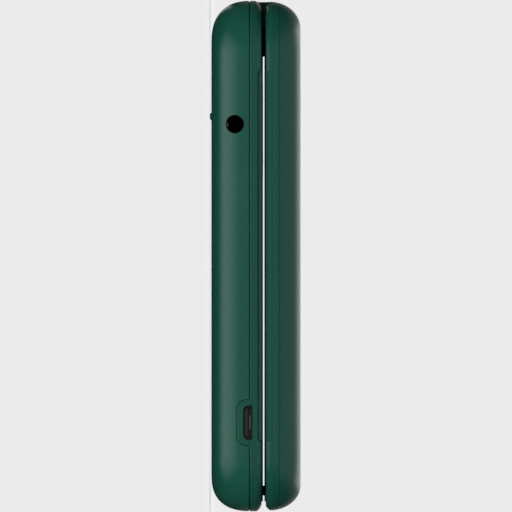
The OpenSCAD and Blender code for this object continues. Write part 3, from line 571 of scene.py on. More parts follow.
def notch_cutters(s):
    """The lid's room for the knuckle: a cylinder round the axis, the block behind it and the neck's sweep."""
    ends, top = [(-NOTCH_HALF, 0), (NOTCH_HALF, 0)], 20.0
    block = bar("x", ends, 3.2, 9.0, top, 0.02, centre=(0, s.axis_y + 3.7, 0), arc=2)
    sweep = bar("x", ends, 1.55, s.axis_z + 3.4, top, 0.02, centre=(0, s.axis_y + 0.45, 0), arc=2)
    room = [(s.knuckle_r + 0.2, x) for x, _ in ends]
    return turned(room, 96, (0, s.axis_y, s.axis_z), "x"), block, sweep


# ---- Form of keys, prints and buttons ----------------------------------------

KEY_R, KEY_GAP, KEY_CROWN, KEY_EDGE, KEY_FOOT = 2.5, 0.25, 0.16, 0.35, 0.9
# Printed marks, from the key's top: their lower side, and the tops of signs and of digits.
PRINT_LOW, SIGN_TOP, DIGIT_TOP = -0.018, 0.012, 0.03


def crown_drop(x, y, hw, hl):
    """How far a crowned top lies below its middle: by the mean of the squared shares of both half sizes."""
    return KEY_CROWN * ((x / hw) ** 2 + (y / hl) ** 2) / 2


def stem(low_z, high_z):
    """The round post under a key, with a small chamfer at its foot."""
    return [(2.1, low_z), (2.5, low_z + 0.25), (2.5, high_z)]


def key_shape(node):
    """A key cap: upright side, quarter-circle edge, and rings scaled to the middle over a crowned top."""
    (_, _, low), (_, _, top) = span(node)
    x, y, hw, hl = plan(node)
    f_in, f_up = quarter(KEY_EDGE, 7)
    foot = top - KEY_FOOT
    grow = np.concatenate([[-0.15, 0, 0], -f_in])
    z = np.concatenate([[foot - 0.5, foot - 0.35, foot], top - KEY_EDGE + f_up])
    r = np.maximum(KEY_R + grow, 0.1)
    few = np.linspace(-1, 1, 5)
    u, v = outline(hw + grow, -hl - grow, hl + grow, r, r, few, few, 8)
    share = np.array([0.93, 0.8, 0.6, 0.4, 0.2, 0.02])[:, None]
    u, v = np.concatenate([u, u[-1] * share]), np.concatenate([v, v[-1] * share])
    z = np.concatenate([z, np.full(len(share), top)])[:, None] + 0 * u
    z[2:] -= crown_drop(u[2:], v[2:], hw, hl)
    cap = loft(np.stack([u + x, v + y, z], axis=-1))
    return join(cap, turned(stem(low, foot - 0.45), 24, (x, y, 0)))


def nav_ring_shape(outer, inner, low, top, y):
    """The ring round the middle key: rounded outer edge, a shallow dish, and a rounded inner edge."""
    across = outer - inner - 0.72
    dish = [(outer - 0.5 - k * across, top - 0.1 * math.sin(math.pi * k)) for k in np.linspace(0.08, 0.92, 9)]
    rise, fall = bend(outer, top - 0.5, 0.5, 7), bend(inner, top - 0.22, 0.22, 5, side=1)[::-1]
    return tube(turned([(outer, low), *rise, *dish, *fall, (inner, low)], 96, (0, y, 0)), 96)


def handset_ring(turn):
    """A small handset seen flat: a thick arc whose inner radius drops near both ends, turned by an angle."""
    a = np.linspace(150, 30, 41)
    ends = np.clip((np.abs(a - 90) - 36) / 8, 0, 1)
    inner = 1.62 - 0.75 * ends * ends * (3 - 2 * ends)
    a = np.radians(a)
    out = np.column_stack([2.2 * np.cos(a), 2.2 * np.sin(a)])
    back = np.column_stack([inner * np.cos(a), inner * np.sin(a)])[::-1]
    return spun(np.concatenate([out, back]) - [0, 1.6], turn)[::-1]


def round_ring(hw, hl, r):
    """A plane rounded rectangle round the origin, anticlockwise."""
    u, v = outline(hw, -hl, hl, r, r, FEW, FEW, 6)
    return np.column_stack([u[0], v[0]])


def flat_print(ring, node):
    """A printed mark: a plane ring centred on a crowned key top and given a thickness."""
    x, y, hw, hl = plan(node)
    u, v = (ring - (ring.max(axis=0) + ring.min(axis=0)) / 2).T
    z = span(node)[1][2] - crown_drop(u, v, hw, hl)
    return loft(np.stack([np.column_stack([u + x, v + y, z + lift]) for lift in (PRINT_LOW, SIGN_TOP)]))


def digit_print(text, node, size):
    """A digit or sign from Blender's own font, made a mesh, centred and laid on a crowned key top."""
    name = f"{node}_sign"
    curve = bpy.data.curves.new(name, "FONT")
    curve.body, curve.size, curve.extrude = text, size, 0.5
    curve.align_x = "CENTER"
    curve.resolution_u = 6
    obj = put(name, curve)
    mesh = evaluated_mesh(obj)
    bpy.data.objects.remove(obj)
    bpy.data.curves.remove(curve)
    co = np.empty(len(mesh.vertices) * 3)
    mesh.vertices.foreach_get("co", co)
    co = co.reshape(-1, 3)
    u, v = (co[:, :2] - (co[:, :2].max(axis=0) + co[:, :2].min(axis=0)) / 2).T
    x, y, hw, hl = plan(node)
    z = span(node)[1][2] - crown_drop(u, v, hw, hl) + np.where(co[:, 2] > 0, DIGIT_TOP, PRINT_LOW) + NUB_H
    mesh.vertices.foreach_set("co", (np.column_stack([u + x, v + y, z]) / MM).ravel())
    mesh.update()
    work = bmesh.new()
    work.from_mesh(mesh)
    bmesh.ops.remove_doubles(work, verts=work.verts, dist=1e-7)
    bmesh.ops.recalc_face_normals(work, faces=work.faces)
    work.to_mesh(mesh)
    work.free()
    mesh.materials.clear()
    dress(put(name, mesh), "key_print", node)


def side_button_shape(node):
    """A side button: a rounded bar whose outer face follows the shell's curve and stands proud, crowned.

    Its foot is a wider flange that holds it behind the shell.
    """
    low, high = span(node)
    _, y, _, half = plan(node)
    half -= 0.62
    z0, z1 = low[2] + 0.02, high[2] - 0.02
    edge, proud = 0.28, 0.2
    f_in, f_up = quarter(edge, 6)
    grow = np.concatenate([[0, 0], -f_in])
    r = 1.15 + grow
    u, v = outline(half + grow, z0 - grow, z1 + grow, r, r, np.linspace(-1, 1, 9), FEW, 10)
    share = np.array([0.9, 0.75, 0.55, 0.3, 0.04])[:, None]
    mid = (z0 + z1) / 2
    u = np.concatenate([u, u[-1] * share])
    v = np.concatenate([v, mid + (v[-1] - mid) * share])
    out = np.concatenate([[0, 0], f_up - edge + proud, np.full(len(share), proud)])[:, None] + 0 * u
    out = out + 0.06 * (1 - (u / half) ** 2) * (np.arange(len(u)) >= 2 + len(f_up))[:, None]
    x = np.minimum(HALF_W - edge_in(BASE_EDGE, v) + out, HALF_W - 0.01)
    x[0] = low[0] + 0.7
    x[1] = HALF_W - 1.6
    cap = loft(np.stack([x, u, v], axis=-1))
    behind = [(low[0], -0.1), (low[0] + 0.1, 0), (low[0] + 0.75, 0)]
    points, faces = join(cap, bar("x", behind, half + 0.55, z0 + 0.2, z1 - 0.2, 0.3))
    return points + np.array([0, y, 0]), faces


# ---- Finishes ----------------------------------------------------------------


class Link:
    """A socket that can be used in Python sums; numbers stand for themselves."""

    def __init__(self, tree, socket):
        self.tree, self.socket = tree, socket

    def _maths(self, how, *values):
        return self.tree.node("ShaderNodeMath", {"operation": how}, *values)[0]

    def __add__(self, other):
        return self._maths("ADD", self, other)

    def __sub__(self, other):
        return self._maths("SUBTRACT", self, other)

    def __rsub__(self, other):
        return self._maths("SUBTRACT", other, self)

    def __mul__(self, other):
        return self._maths("MULTIPLY", self, other)

    def __abs__(self):
        return self._maths("ABSOLUTE", self)

    __radd__, __rmul__ = __add__, __mul__


class Tree:
    """The nodes of one material, made by type, settings and socket values."""

    def __init__(self, owner):
        owner.use_nodes = True
        self.nodes = owner.node_tree.nodes
        self.links = owner.node_tree.links
        self.nodes.clear()

    def fill(self, socket, value):
        """Links a Link to a socket or writes a value there; a colour of three numbers gets a fourth."""
        if isinstance(value, Link):
            self.links.new(value.socket, socket)
        elif hasattr(socket.default_value, "__len__") and len(socket.default_value) == 4 and len(value) == 3:
            socket.default_value = (*value, 1)
        else:
            socket.default_value = value

    def node(self, kind, settings=None, *values, **named):
        """Adds a node: settings first (a ramp's stops too), then socket values by order or by name."""
        made = self.nodes.new(kind)
        for key, value in (settings or {}).items():
            if key == "stops":
                ramp = made.color_ramp.elements
                while len(ramp) < len(value):
                    ramp.new(0.5)
                for element, (place, shade) in zip(ramp, value):
                    element.position, element.color = place, (*shade, 1)
            else:
                setattr(made, key, value)
        for place, value in [*enumerate(values), *((k.replace("_", " "), v) for k, v in named.items())]:
            self.fill(made.inputs[place], value)
        return [Link(self, o) for o in made.outputs]

    def here(self):
        """Object coordinates, as Blender gives them."""
        return self.node("ShaderNodeTexCoord")[3]

    def place(self, *stretch):
        """Object coordinates in millimetres, times a stretch."""
        size = tuple(MM * v for v in stretch or (1, 1, 1))
        return self.node("ShaderNodeMapping", {"vector_type": "POINT"}, Vector=self.here(), Scale=size)[0]

    def split(self, vector):
        return self.node("ShaderNodeSeparateXYZ", None, vector)

    def length(self, vector):
        return self.node("ShaderNodeVectorMath", {"operation": "LENGTH"}, vector)[1]

    def noise(self, at, scale, detail=2.0, rough=0.5):
        values = {"Vector": at, "Scale": scale, "Detail": detail, "Roughness": rough}
        return self.node("ShaderNodeTexNoise", None, **values)[0]

    def mix(self, share, a, b):
        """Colours a to b by share."""
        made = self.nodes.new("ShaderNodeMix")
        made.data_type = "RGBA"
        for place, value in ((0, share), (6, a), (7, b)):
            self.fill(made.inputs[place], value)
        return Link(self, made.outputs[2])

    def step(self, value, low, high):
        """0 below low and 1 above high, smoothly."""
        return self.node("ShaderNodeMapRange", {"interpolation_type": "SMOOTHSTEP"}, value, low, high)[0]

    def bump(self, height, distance, strength=1.0):
        """A normal from a height 0-1; distance in millimetres."""
        return self.node("ShaderNodeBump", None, Strength=strength, Distance=distance / MM, Height=height)[0]

    def surface(self, **values):
        """A Principled surface joined to the output."""
        self.finish(self.node("ShaderNodeBsdfPrincipled", None, **values)[0])

    def finish(self, shader):
        self.node("ShaderNodeOutputMaterial", None, shader)

    def glow(self, tone, strength):
        return self.node("ShaderNodeEmission", None, Color=tone, Strength=strength)[0]


def shades(tone, spread):
    """A tone made darker and lighter by a share."""
    return [tuple(share * c for c in tone) for share in (1 - spread, 1 + spread)]


def plain(t, rgb, rough, metallic=0.0, grain=0.001, grain_scale=4.0, spread=0.08):
    """A moulded, printed or metal finish: a tone and a roughness with slight variation, and a fine grain."""
    at = t.place()
    cloud = t.noise(at, 0.12, 3.0)
    fine = t.noise(at, grain_scale, 2.0)
    t.surface(
        Base_Color=t.mix(cloud, *shades(linear(rgb), spread)),
        Roughness=cloud * 0.1 + (rough - 0.05),
        Metallic=metallic,
        Normal=t.bump(fine, grain, 0.6),
    )


def satin_paint(t, depth):
    """Green satin paint: a fine orange-peel, slight cloudiness and faint handling marks in the gloss."""
    # A depth below 1 darkens the whole tone: painted shade.
    tone = tuple(depth * c for c in bpy.context.scene.phone_colours.paint)
    at = t.place()
    cloud = t.noise(at, 0.05, 3.0)
    fine = t.noise(at, 3.2, 2.0)
    smudge = t.noise(t.place(1, 0.35, 1), 0.16, 4.0, 0.62)
    t.surface(
        Base_Color=t.mix(cloud, *shades(tone, 0.07)),
        Roughness=smudge * 0.08 + 0.23,
        IOR=1.6,
        Normal=t.bump(fine, 0.004, 0.5),
    )


def screen_glass(t, half, mid, half_l):
    """Black glass with a switched-off display behind it: a slightly blue-grey field inside a black border."""
    soft = 0.08
    x, y, _ = t.split(t.here())
    across, along = abs(x * MM), abs(y * MM - mid)
    field = (1 - t.step(across, half - soft, half + soft)) * (1 - t.step(along, half_l - soft, half_l + soft))
    smear = t.noise(t.place(1, 0.4, 1), 0.09, 4.0, 0.6)
    dust = t.noise(t.place(), 1.6, 3.0, 0.7)
    t.surface(
        Base_Color=t.mix(field, (0.0045, 0.0048, 0.005), (0.011, 0.0135, 0.017)),
        Roughness=smear * 0.1 + t.step(dust, 0.66, 0.8) * 0.08 + 0.015,
        IOR=1.52,
        Normal=t.bump(smear, 0.01, 0.15),
    )


def screen_panel(t):
    """Display panel with a faint pixel grid."""
    grid = t.node("ShaderNodeTexBrick", {"offset": 0.0}, Vector=t.place(), Scale=4.0, Mortar_Size=0.02)[1]
    cloud = t.noise(t.place(), 0.1)
    t.surface(
        Base_Color=t.mix(grid, (0.006, 0.007, 0.01), (0.012, 0.013, 0.016)),
        Roughness=cloud * 0.08 + 0.12,
    )


def lens_glass(t, cx, cy):
    """Coated lens glass: black barrel, with violet and green tints in rings round the middle."""
    x, y, _ = t.split(t.here())
    far = t.length(t.node("ShaderNodeCombineXYZ", None, x * MM - cx, y * MM - cy, 0.0)[0])
    tints = (
        (0.0, (0.006, 0.006, 0.01)), (0.22, (0.016, 0.010, 0.034)), (0.42, (0.012, 0.022, 0.03)),
        (0.6, (0.006, 0.012, 0.012)), (0.66, (0.003, 0.003, 0.003)), (1.0, (0.004, 0.004, 0.004)),
    )  # fmt: skip
    tint = t.node("ShaderNodeValToRGB", {"stops": tints}, far * 0.5)[0]
    t.surface(Base_Color=tint, Roughness=t.step(far, 1.2, 1.35) * 0.28 + 0.02, IOR=1.7)


def milky_lens(t):
    """Clear plastic over a pale yellow light: milky, with a faint cloudy tone."""
    cloud = t.noise(t.place(), 1.2, 3.0)
    t.surface(
        Base_Color=t.mix(cloud, linear((214, 208, 180)), linear((236, 232, 214))),
        Roughness=cloud * 0.1 + 0.12,
        Coat_Weight=0.6,
        IOR=1.49,
    )


def brushed_steel(t):
    """Steel with fine scratches along one direction."""
    lines = t.noise(t.place(0.08, 4.0, 4.0), 3.0, 3.0, 0.6)
    cloud = t.noise(t.place(), 0.15)
    t.surface(
        Base_Color=t.mix(cloud, linear((150, 153, 156)), linear((178, 181, 184))),
        Metallic=1.0,
        Roughness=lines * 0.16 + 0.22,
        Normal=t.bump(lines, 0.002, 0.6),
    )


def circuit_board(t):
    """Green solder mask over faint copper tracks, with tinned pads in rows."""
    at = t.place()
    tracks = t.node("ShaderNodeTexBrick", {"offset": 0.37}, Vector=at, Scale=0.55, Mortar_Size=0.09)[1]
    pads = t.node("ShaderNodeTexVoronoi", {"feature": "F1"}, Vector=at, Scale=0.45)[0]
    pad = 1 - t.step(pads, 0.16, 0.2)
    mask = t.mix(tracks, linear((24, 84, 48)), linear((34, 108, 62)))
    t.surface(
        Base_Color=t.mix(pad, mask, linear((196, 190, 168))),
        Metallic=pad * 0.9,
        Roughness=0.38 - pad * 0.1,
        Normal=t.bump(tracks + pad, 0.02, 0.5),
    )


def battery_film(t):
    """Dark shrink film with faint wrinkles and two cell-wide bands."""
    folds = t.noise(t.place(0.5, 2.0, 1), 0.35, 4.0, 0.6)
    band = t.node("ShaderNodeTexWave", {"bands_direction": "Y"}, Vector=t.place(), Scale=0.035)[1]
    t.surface(
        Base_Color=t.mix(band, linear((38, 41, 46)), linear((52, 56, 62))),
        Roughness=folds * 0.18 + 0.25,
        Normal=t.bump(folds, 0.03, 0.5),
    )


def woven_mesh(t, rgb):
    """Fine punched mesh: rows of round holes 0.5 mm apart, with painted shade inside the holes."""
    tone = linear(rgb)
    cells = t.node("ShaderNodeTexVoronoi", {"feature": "F1"}, Vector=t.place(), Scale=2.0, Randomness=0.0)[0]
    # The holes are coloured at 0.12 of the tone: painted shade inside them.
    hole = 1 - t.step(cells, 0.26, 0.34)
    t.surface(
        Base_Color=t.mix(hole, tone, tuple(0.12 * c for c in tone)),
        Metallic=0.6,
        Roughness=0.45 + hole * 0.4,
        Normal=t.bump(1 - hole, 0.06, 0.8),
    )


# A finish's name, the slot of its pieces, its function, and the values that this takes after the tree.
INK = 0.5, 0.0, 0.001, 12.0, 0.05
RUBBER = 0.72, 0.0, 0.012, 5.0
FINISHES = {
    "satin_green_paint": ("green_shell", satin_paint, 1.0),
    # The same paint at 0.86 of its tone: painted shade on the housing, both lid shells and the knuckle.
    "satin_green_inner": ("green_shell", satin_paint, 0.86),
    "black_plastic": ("black_plastic", plain, (22, 23, 23), 0.42, 0.0, 0.004, 6.0),
    "black_plate": ("black_plastic", plain, (20, 22, 22), 0.46, 0.0, 0.006, 7.0),
    "key_satin": ("key_caps", plain, (27, 29, 29), 0.34, 0.0, 0.002, 9.0),
    "key_print": ("key_caps", plain, (196, 202, 200), *INK),
    "call_print": ("key_caps", plain, (70, 190, 110), *INK),
    "end_print": ("key_caps", plain, (214, 72, 66), *INK),
    "port_steel": ("steel", plain, (134, 140, 140), 0.4, 0.85),
    "port_tongue_plastic": ("black_plastic", plain, (84, 86, 86), 0.45),
    "port_core_plastic": ("black_plastic", plain, (76, 81, 81), 0.5),
    "gold_contact": ("gold_contact", plain, (196, 160, 88), 0.28, 1.0),
    "dark_turned_metal": ("steel", plain, (92, 96, 97), 0.24, 1.0, 0.0015, 14.0),
    "bumper_rubber": ("black_rubber", plain, (13, 14, 14), *RUBBER),
    "keypad_silicone": (None, plain, (58, 61, 60), *RUBBER),
    "chassis_plastic": (None, plain, (38, 41, 42), 0.5, 0.0, 0.01, 5.0),
    "dome_film": (None, plain, (170, 174, 178), 0.3, 0.6, 0.003, 2.0),
    "copper_film": (None, plain, (184, 134, 75), 0.35, 0.9, 0.002, 3.0),
    "flex_film": (None, plain, (176, 106, 44), 0.4, 0.2, 0.003, 3.0),
    "speaker_mesh": (None, woven_mesh, (27, 28, 29)),
    "earpiece_mesh": (None, woven_mesh, (43, 45, 47)),
    "inner_screen_glass": ("black_glass", screen_glass),
    "outer_screen_glass": ("black_glass", screen_glass),
    "display_panel": (None, screen_panel),
    "lens_glass": ("black_glass", lens_glass),
    "milky_lens": ("clear_lens", milky_lens),
    "brushed_steel": (None, brushed_steel),
    "circuit_board": (None, circuit_board),
    "battery_film": (None, battery_film),
}


def finish(name, *more):
    """The material of that name, built at first use from its row and any further values, and then shared."""
    found = bpy.data.materials.get(name)
    if found is None:
        found = bpy.data.materials.new(name)
        _, build, *values = FINISHES[name]
        build(Tree(found), *values, *more)
    return found


# The CAD pieces that stay in the scene, by what they are made of.
INNER_FINISHES = {
    "brushed_steel": (
        "sim_socket", "vibration_motor", "base_screws", "lid_screws", "lid_magnet",
        "hinge_can", "hinge_spring", "hinge_shaft", "hinge_bush",
    ),
    "chassis_plastic": ("base_chassis", "nav_gimbal", "camera_module"),
    "circuit_board": ("main_board", "lid_board"),
    "display_panel": ("main_display", "outer_display"),
    "gold_contact": ("battery_contacts", "microphone"),
    "battery_film": ("battery",),
    "keypad_silicone": ("keypad_mat",),
    "dome_film": ("dome_sheet",),
    "copper_film": ("antenna",),
    "flex_film": ("hinge_flex",),
    "speaker_mesh": ("loudspeaker",),
    "earpiece_mesh": ("earpiece",),
}  # fmt: skip


# ---- Operators ---------------------------------------------------------------


class PHONE_OT_base_shells(bpy.types.Operator):
    """Back cover and housing of the base half"""

    bl_idname = "phone.base_shells"
    bl_label = "Base shells"

    def execute(self, context):
        s = sizes()
        back = make_piece("back_shell", back_cover_shape(s), "satin_green_paint", "base", "back_cover")
        rows = (NUB_Y + 2.2 * i for i in range(-2, 3))
        slots = [bar("z", [(-1, 0), (3, 0)], 6, -0.5, 0.5, 0.49, centre=(0, y, 0)) for y in rows]
        sides = [
            bar("x", [(23.8, 0), (-OUTSIDE, 0)], half, 3.45, 6.55, 1.3, centre=(0, y, 0))
            for y, half in ((VOLUME_Y, 7.65), (SIDE_KEY_Y, 4.15))
        ]
        jack = turned([(1.965, OUTSIDE), (1.965, -21.5)], 64, (0, JACK_Y, JACK_Z), "x")
        carve(back, surround_bar(0.1, -22.5), jack, join(*slots), join(*sides))
        housing = make_piece("housing_shell", housing_shape(s), "satin_green_inner", "base", "base_housing")
        plug = make_piece("surround_plug", surround_plug(s))
        carve(plug, surround_bar(0, -26.0), mode="INTERSECT")
        carve(housing, plug, mode="UNION")
        carve(housing, port_mouth(0, -28.4, -22.0, 0.1))
        lip = make_piece("seam_lip", seam_shape(s), "black_plastic", "base", "base_housing")
        carve(lip, surround_bar(-0.3, -24.0))
        nub = [(0.3, -0.36), (0.45, -0.345), (0.58, -0.29), (0.66, -0.2), (0.685, -0.1), (0.685, 0.3)]
        nubs = join(*(turned(nub, 40, (x, NUB_Y, 0)) for x in (-NUB_X, NUB_X)))
        make_piece("stand_off_nubs", nubs, "satin_green_paint", "base", "back_cover")
        return {"FINISHED"}


class PHONE_OT_hinge(bpy.types.Operator):
    """Knuckle, its neck and the black pad in front of it"""

    bl_idname = "phone.hinge"
    bl_label = "Hinge"

    def execute(self, context):
        s = sizes()
        make_piece("knuckle", knuckle_shape(s), "satin_green_inner", "base", "hinge_knuckle")
        low, high = span("hinge_pad")
        pad = bar("z", round_over(low[2], s.lid_z - 0.02, 0.1), high[0], low[1] + 0.3, high[1], 0.4)
        make_piece("hinge_rest", pad, "black_plastic", "base", "hinge_pad")
        return {"FINISHED"}


class PHONE_OT_ports(bpy.types.Operator):
    """Headphone socket and data port"""

    bl_idname = "phone.ports"
    bl_label = "Ports"

    def execute(self, context):
        x, jack = -HALF_W, (0, JACK_Y, JACK_Z)
        barrel = [
            (2.25, x + 1.75), (2.25, x + 15.5), (1.2, x + 15.9), (1.2, x + 15.2), (1.78, x + 14.0),
            (1.78, x + 2.5), (1.84, x + 2.1), (1.95, x + 1.85), (2.05, x + 1.72),
        ]  # fmt: skip
        socket = tube(turned(barrel, 64, jack, "x"), 64)
        make_piece("jack_barrel", socket, "black_plastic", "base", "headphone_jack")
        runs = ([(x + at, 0), (x + at + 2.2, 0)] for at in (7.0, 10.5))
        springs = (bar("x", run, 0.5, -1.76, -1.5, 0.12, centre=jack) for run in runs)
        make_piece("jack_springs", join(*springs), "gold_contact", "base")
        shell = port_mouth(0.22, x + 1.65, x + 6.2)
        shell = make_piece("port_shell", shell, "port_steel", "base", "usb_socket")
        carve(shell, port_mouth(-0.02, x, x + 5.8))
        # A black ring in front of the steel shell's edge: painted shade on that edge.
        rim = port_mouth(-0.01, x + 1.15, x + 1.6)
        rim = make_piece("port_rim", rim, "black_plastic", "base")
        carve(rim, port_mouth(-0.3, x + 1, x + 2))
        low, high = span("usb_tongue")
        mid, (_, half, up) = (low + high) / 2, (high - low) / 2
        stops = round_over(low[0], high[0], 0.12, both=True)
        tongue = bar("x", stops, half, -up, up, 0.2, centre=(0, mid[1] + 0.2, mid[2]))
        make_piece("port_tongue", tongue, "port_tongue_plastic", "base", "usb_tongue")
        # A lighter grey block that fills the back of the port.
        core = port_mouth(-0.04, x + 2.5, x + 5.78)
        make_piece("port_core", core, "port_core_plastic", "base")
        return {"FINISHED"}


NUMBER_KEYS = [f"key_{name}" for name in (*"123456789", "star", "0", "hash")]
UPPER_KEYS = ["soft_key_left", "soft_key_right", "call_key", "end_key"]
DIGITS = dict(zip(NUMBER_KEYS, "123456789*0#"))
DIGIT_SIZES = {"*": 9.0, "#": 6.4}


class PHONE_OT_keypad(bpy.types.Operator):
    """Keypad plate, number keys, upper keys, steering ring and their printed signs"""

    bl_idname = "phone.keypad"
    bl_label = "Keypad"

    def execute(self, context):
        low, top = (corner[2] for corner in span("keypad_plate"))
        top += 0.1
        shape = plate_shape("keypad_plate", round_over(low, top, 0.1))
        plate = make_piece("keypad_face", shape, "black_plate", "base", "keypad_plate")
        rim = [(low - 0.5, 0), (top - 0.18, 0), (top, 0.1), (top + 0.2, 0.24)]
        cutters = []
        for node in NUMBER_KEYS + UPPER_KEYS:
            x, y, hw, hl = plan(node)
            hw, hl = hw + KEY_GAP, hl + KEY_GAP
            cutters.append(bar("z", rim, hw, -hl, hl, KEY_R + KEY_GAP, centre=(x, y, 0), arc=8))
        ring_low, ring_high = span("nav_ring")
        nav_r, nav_y = ring_high[0], (ring_low[1] + ring_high[1]) / 2
        cutters.append(turned([(nav_r + KEY_GAP + g, z) for z, g in rim], 96, (0, nav_y, 0)))
        carve(plate, join(*cutters))

        for node in NUMBER_KEYS + UPPER_KEYS:
            make_piece(f"{node}_cap", key_shape(node), "key_satin", node, node)
            if node in DIGITS:
                digit_print(DIGITS[node], node, DIGIT_SIZES.get(DIGITS[node], 7.0))
        signs = {
            "soft_key_left": (round_ring(1.9, 0.32, 0.31), "key_print"),
            "soft_key_right": (round_ring(1.9, 0.32, 0.31), "key_print"),
            "call_key": (handset_ring(math.radians(-135)), "call_print"),
            "end_key": (handset_ring(0.0), "end_print"),
        }
        for node, (ring, ink) in signs.items():
            make_piece(f"{node}_sign", flat_print(ring, node), ink, node)

        top, ok = ring_high[2], span("ok_key")
        r = ok[1][0]
        profile = stem(ok[0][2], 9.35) + [(r - 0.1, 9.35), (r, 9.5), *bend(r, top - 0.4, 0.4, 6)]
        profile += [(r * k, top - 0.22 * (1 - (k / 0.9) ** 2)) for k in (0.8, 0.65, 0.5, 0.35, 0.2, 0.05)]
        make_piece("ok_key_cap", turned(profile, 72, (0, nav_y, 0)), "key_satin", "ok_key", "ok_key")
        ring = nav_ring_shape(nav_r, r + KEY_GAP, ring_low[2], top, nav_y)
        make_piece("nav_ring_cap", ring, "key_satin", "nav_ring", "nav_ring")
        tip = np.array([[0.0, 0.75], [-0.95, -0.45], [0.95, -0.45]]) + [0, 7.7]
        arrows = []
        for turn in range(4):
            flat = spun(tip, turn * math.pi / 2) + [0, nav_y]
            rings = [np.column_stack([flat, np.full(3, top - down)]) for down in (0.14, 0.075)]
            arrows.append(loft(np.stack(rings)))
        make_piece("nav_ring_arrows", join(*arrows), "key_print", "nav_ring")
        return {"FINISHED"}


class PHONE_OT_lid_shells(bpy.types.Operator):
    """Inner frame and outer cover of the lid half"""

    bl_idname = "phone.lid_shells"
    bl_label = "Lid shells"

    def execute(self, context):
        s = sizes()
        shapes = {"lid_frame": lid_frame_shape(s), "lid_cover": lid_cover_shape(s)}
        pieces = [
            make_piece(f"{node}_shell", shape, "satin_green_inner", "lid", node)
            for node, shape in shapes.items()
        ]
        face = s.top
        deep, under = face - 2.5, face - 0.5
        rim = [(face - 0.8, 0), (face - 0.15, 0), *((z, g) for g, z in bend(0, face - 0.15, 0.15, 5, side=1))]
        rim.append((face + 0.6, 0.15))
        window = (0, WINDOW_Y, 0)
        holes = [
            bar("z", [(z, g + 0.05) for z, g in rim], 16, -19, 19, 4, centre=window),
            bar("z", [(deep, 0), (under, 0)], 14.5, -17.5, 17.5, 0.8, centre=window),
            turned([(3.85 + g, z) for z, g in rim], 72, (CAMERA_X, CAMERA_Y, 0)),
            turned([(3.1, deep), (3.1, under)], 48, (CAMERA_X, CAMERA_Y, 0)),
            turned([(1.85 + g, z) for z, g in rim], 48, (FLASH_X, CAMERA_Y, 0)),
        ]
        for piece, more in zip(pieces, ([], holes)):
            carve(piece, *notch_cutters(s), *more)
        return {"FINISHED"}


class PHONE_OT_glass(bpy.types.Operator):
    """Inner display glass with its earpiece slot, and the outer window"""

    bl_idname = "phone.glass"
    bl_label = "Glass"

    def execute(self, context):
        low, high = span("display_glass")
        low_z, edge = low[2] - 0.04, 0.16
        stops = [(z, g) for g, z in bend(0, low_z + edge, edge, 5, up=-1)[::-1]] + [(high[2], 0.0)]
        _, mid, half, half_l = plan("main_display")
        finish("inner_screen_glass", half - 1.2, mid, half_l - 1.2)
        shape = plate_shape("display_glass", stops)
        glass = make_piece("inner_glass", shape, "inner_screen_glass", "lid", "display_glass")
        slot = [(low_z - 0.3, 0.2), (low_z, 0.12), (low_z + 0.14, 0), (high[2] + 0.3, 0)]
        carve(glass, bar("z", slot, 4.5, -0.6, 0.6, 0.55, centre=(0, high[1] - 4.95, 0), arc=10))

        low, high = span("outer_window")
        _, mid, hw, hl = plan("outer_window")
        hw, hl = hw - 0.05, hl - 0.05
        stops = round_over(low[2], high[2] - 0.02, 0.22, 7)
        pane = bar("z", stops, hw, -hl, hl, 3.95, centre=(0, mid, 0), arc=14)
        finish("outer_screen_glass", 12.2, mid, 15.2)
        make_piece("outer_pane", pane, "outer_screen_glass", "lid", "outer_window")
        return {"FINISHED"}


class PHONE_OT_camera(bpy.types.Operator):
    """Camera ring, stepped lens barrel and lens, and the flash lens"""

    bl_idname = "phone.camera"
    bl_label = "Camera"

    def execute(self, context):
        low, high = span("camera_window")
        x, y, r, _ = plan("camera_window")
        foot, top = low[2], high[2]
        outer, inner = bend(r - 0.05, top - 0.18, 0.16, 6), bend(r - 0.75, top - 0.32, 0.3, 6, side=1)
        ring = turned([(r - 0.05, foot), *outer, *inner[::-1], (r - 0.8, foot)], 96, (x, y, 0))
        make_piece("camera_ring", tube(ring, 96), "dark_turned_metal", "lid", "camera_window")
        dome = [(k, 18.42 - 0.22 * (k / 1.25) ** 2) for k in (1.25, 1.1, 0.9, 0.65, 0.4, 0.15)]
        barrel = [
            (r - 0.86, foot - 0.02), (r - 0.86, 18.62), (2.45, 18.6), (2.4, 18.5), (1.95, 18.47),
            (1.9, 18.36), (1.5, 18.32), (1.45, 18.2), *dome,
        ]  # fmt: skip
        finish("lens_glass", x, y)
        make_piece("camera_lens", turned(barrel, 96, (x, y, 0)), "lens_glass", "lid")

        foot = span("flash_lens")[0][2]
        x, y, r, _ = plan("flash_lens")
        r -= 0.05
        across = np.linspace(r - 0.3, 0.05, 22)
        ripple = [(k, 18.72 + 0.1 * (1 - (k / r) ** 2) + 0.025 * math.cos(k * 9.0)) for k in across]
        edge = [(r, 18.12), (r, 18.6), (r - 0.06, 18.68), (r - 0.18, 18.72)]
        flash = turned([(r - 0.55, foot), (r - 0.55, 18.1), *edge, *ripple], 64, (x, y, 0))
        make_piece("flash_cover", flash, "milky_lens", "lid", "flash_lens")
        return {"FINISHED"}


class PHONE_OT_side_controls(bpy.types.Operator):
    """Volume rocker and side key"""

    bl_idname = "phone.side_controls"
    bl_label = "Side controls"

    def execute(self, context):
        _, mid, _, half = plan("volume_rocker")
        # A minus and a plus near the rocker's ends, standing slightly proud.
        at = half - 0.62 - 2.4
        face = round_over(26.4, 27.38, 0.08)
        marks = [
            bar("x", face, hw, -hl, hl, 0.1, centre=(0, y, 5.35), arc=4)
            for y, hw, hl in ((mid - at, 0.85, 0.14), (mid + at, 0.85, 0.14), (mid + at, 0.14, 0.75))
        ]
        for node, more in (("volume_rocker", marks), ("side_key", [])):
            shape = join(side_button_shape(node), *more)
            make_piece(f"{node}_button", shape, "satin_green_paint", node, node)
        return {"FINISHED"}


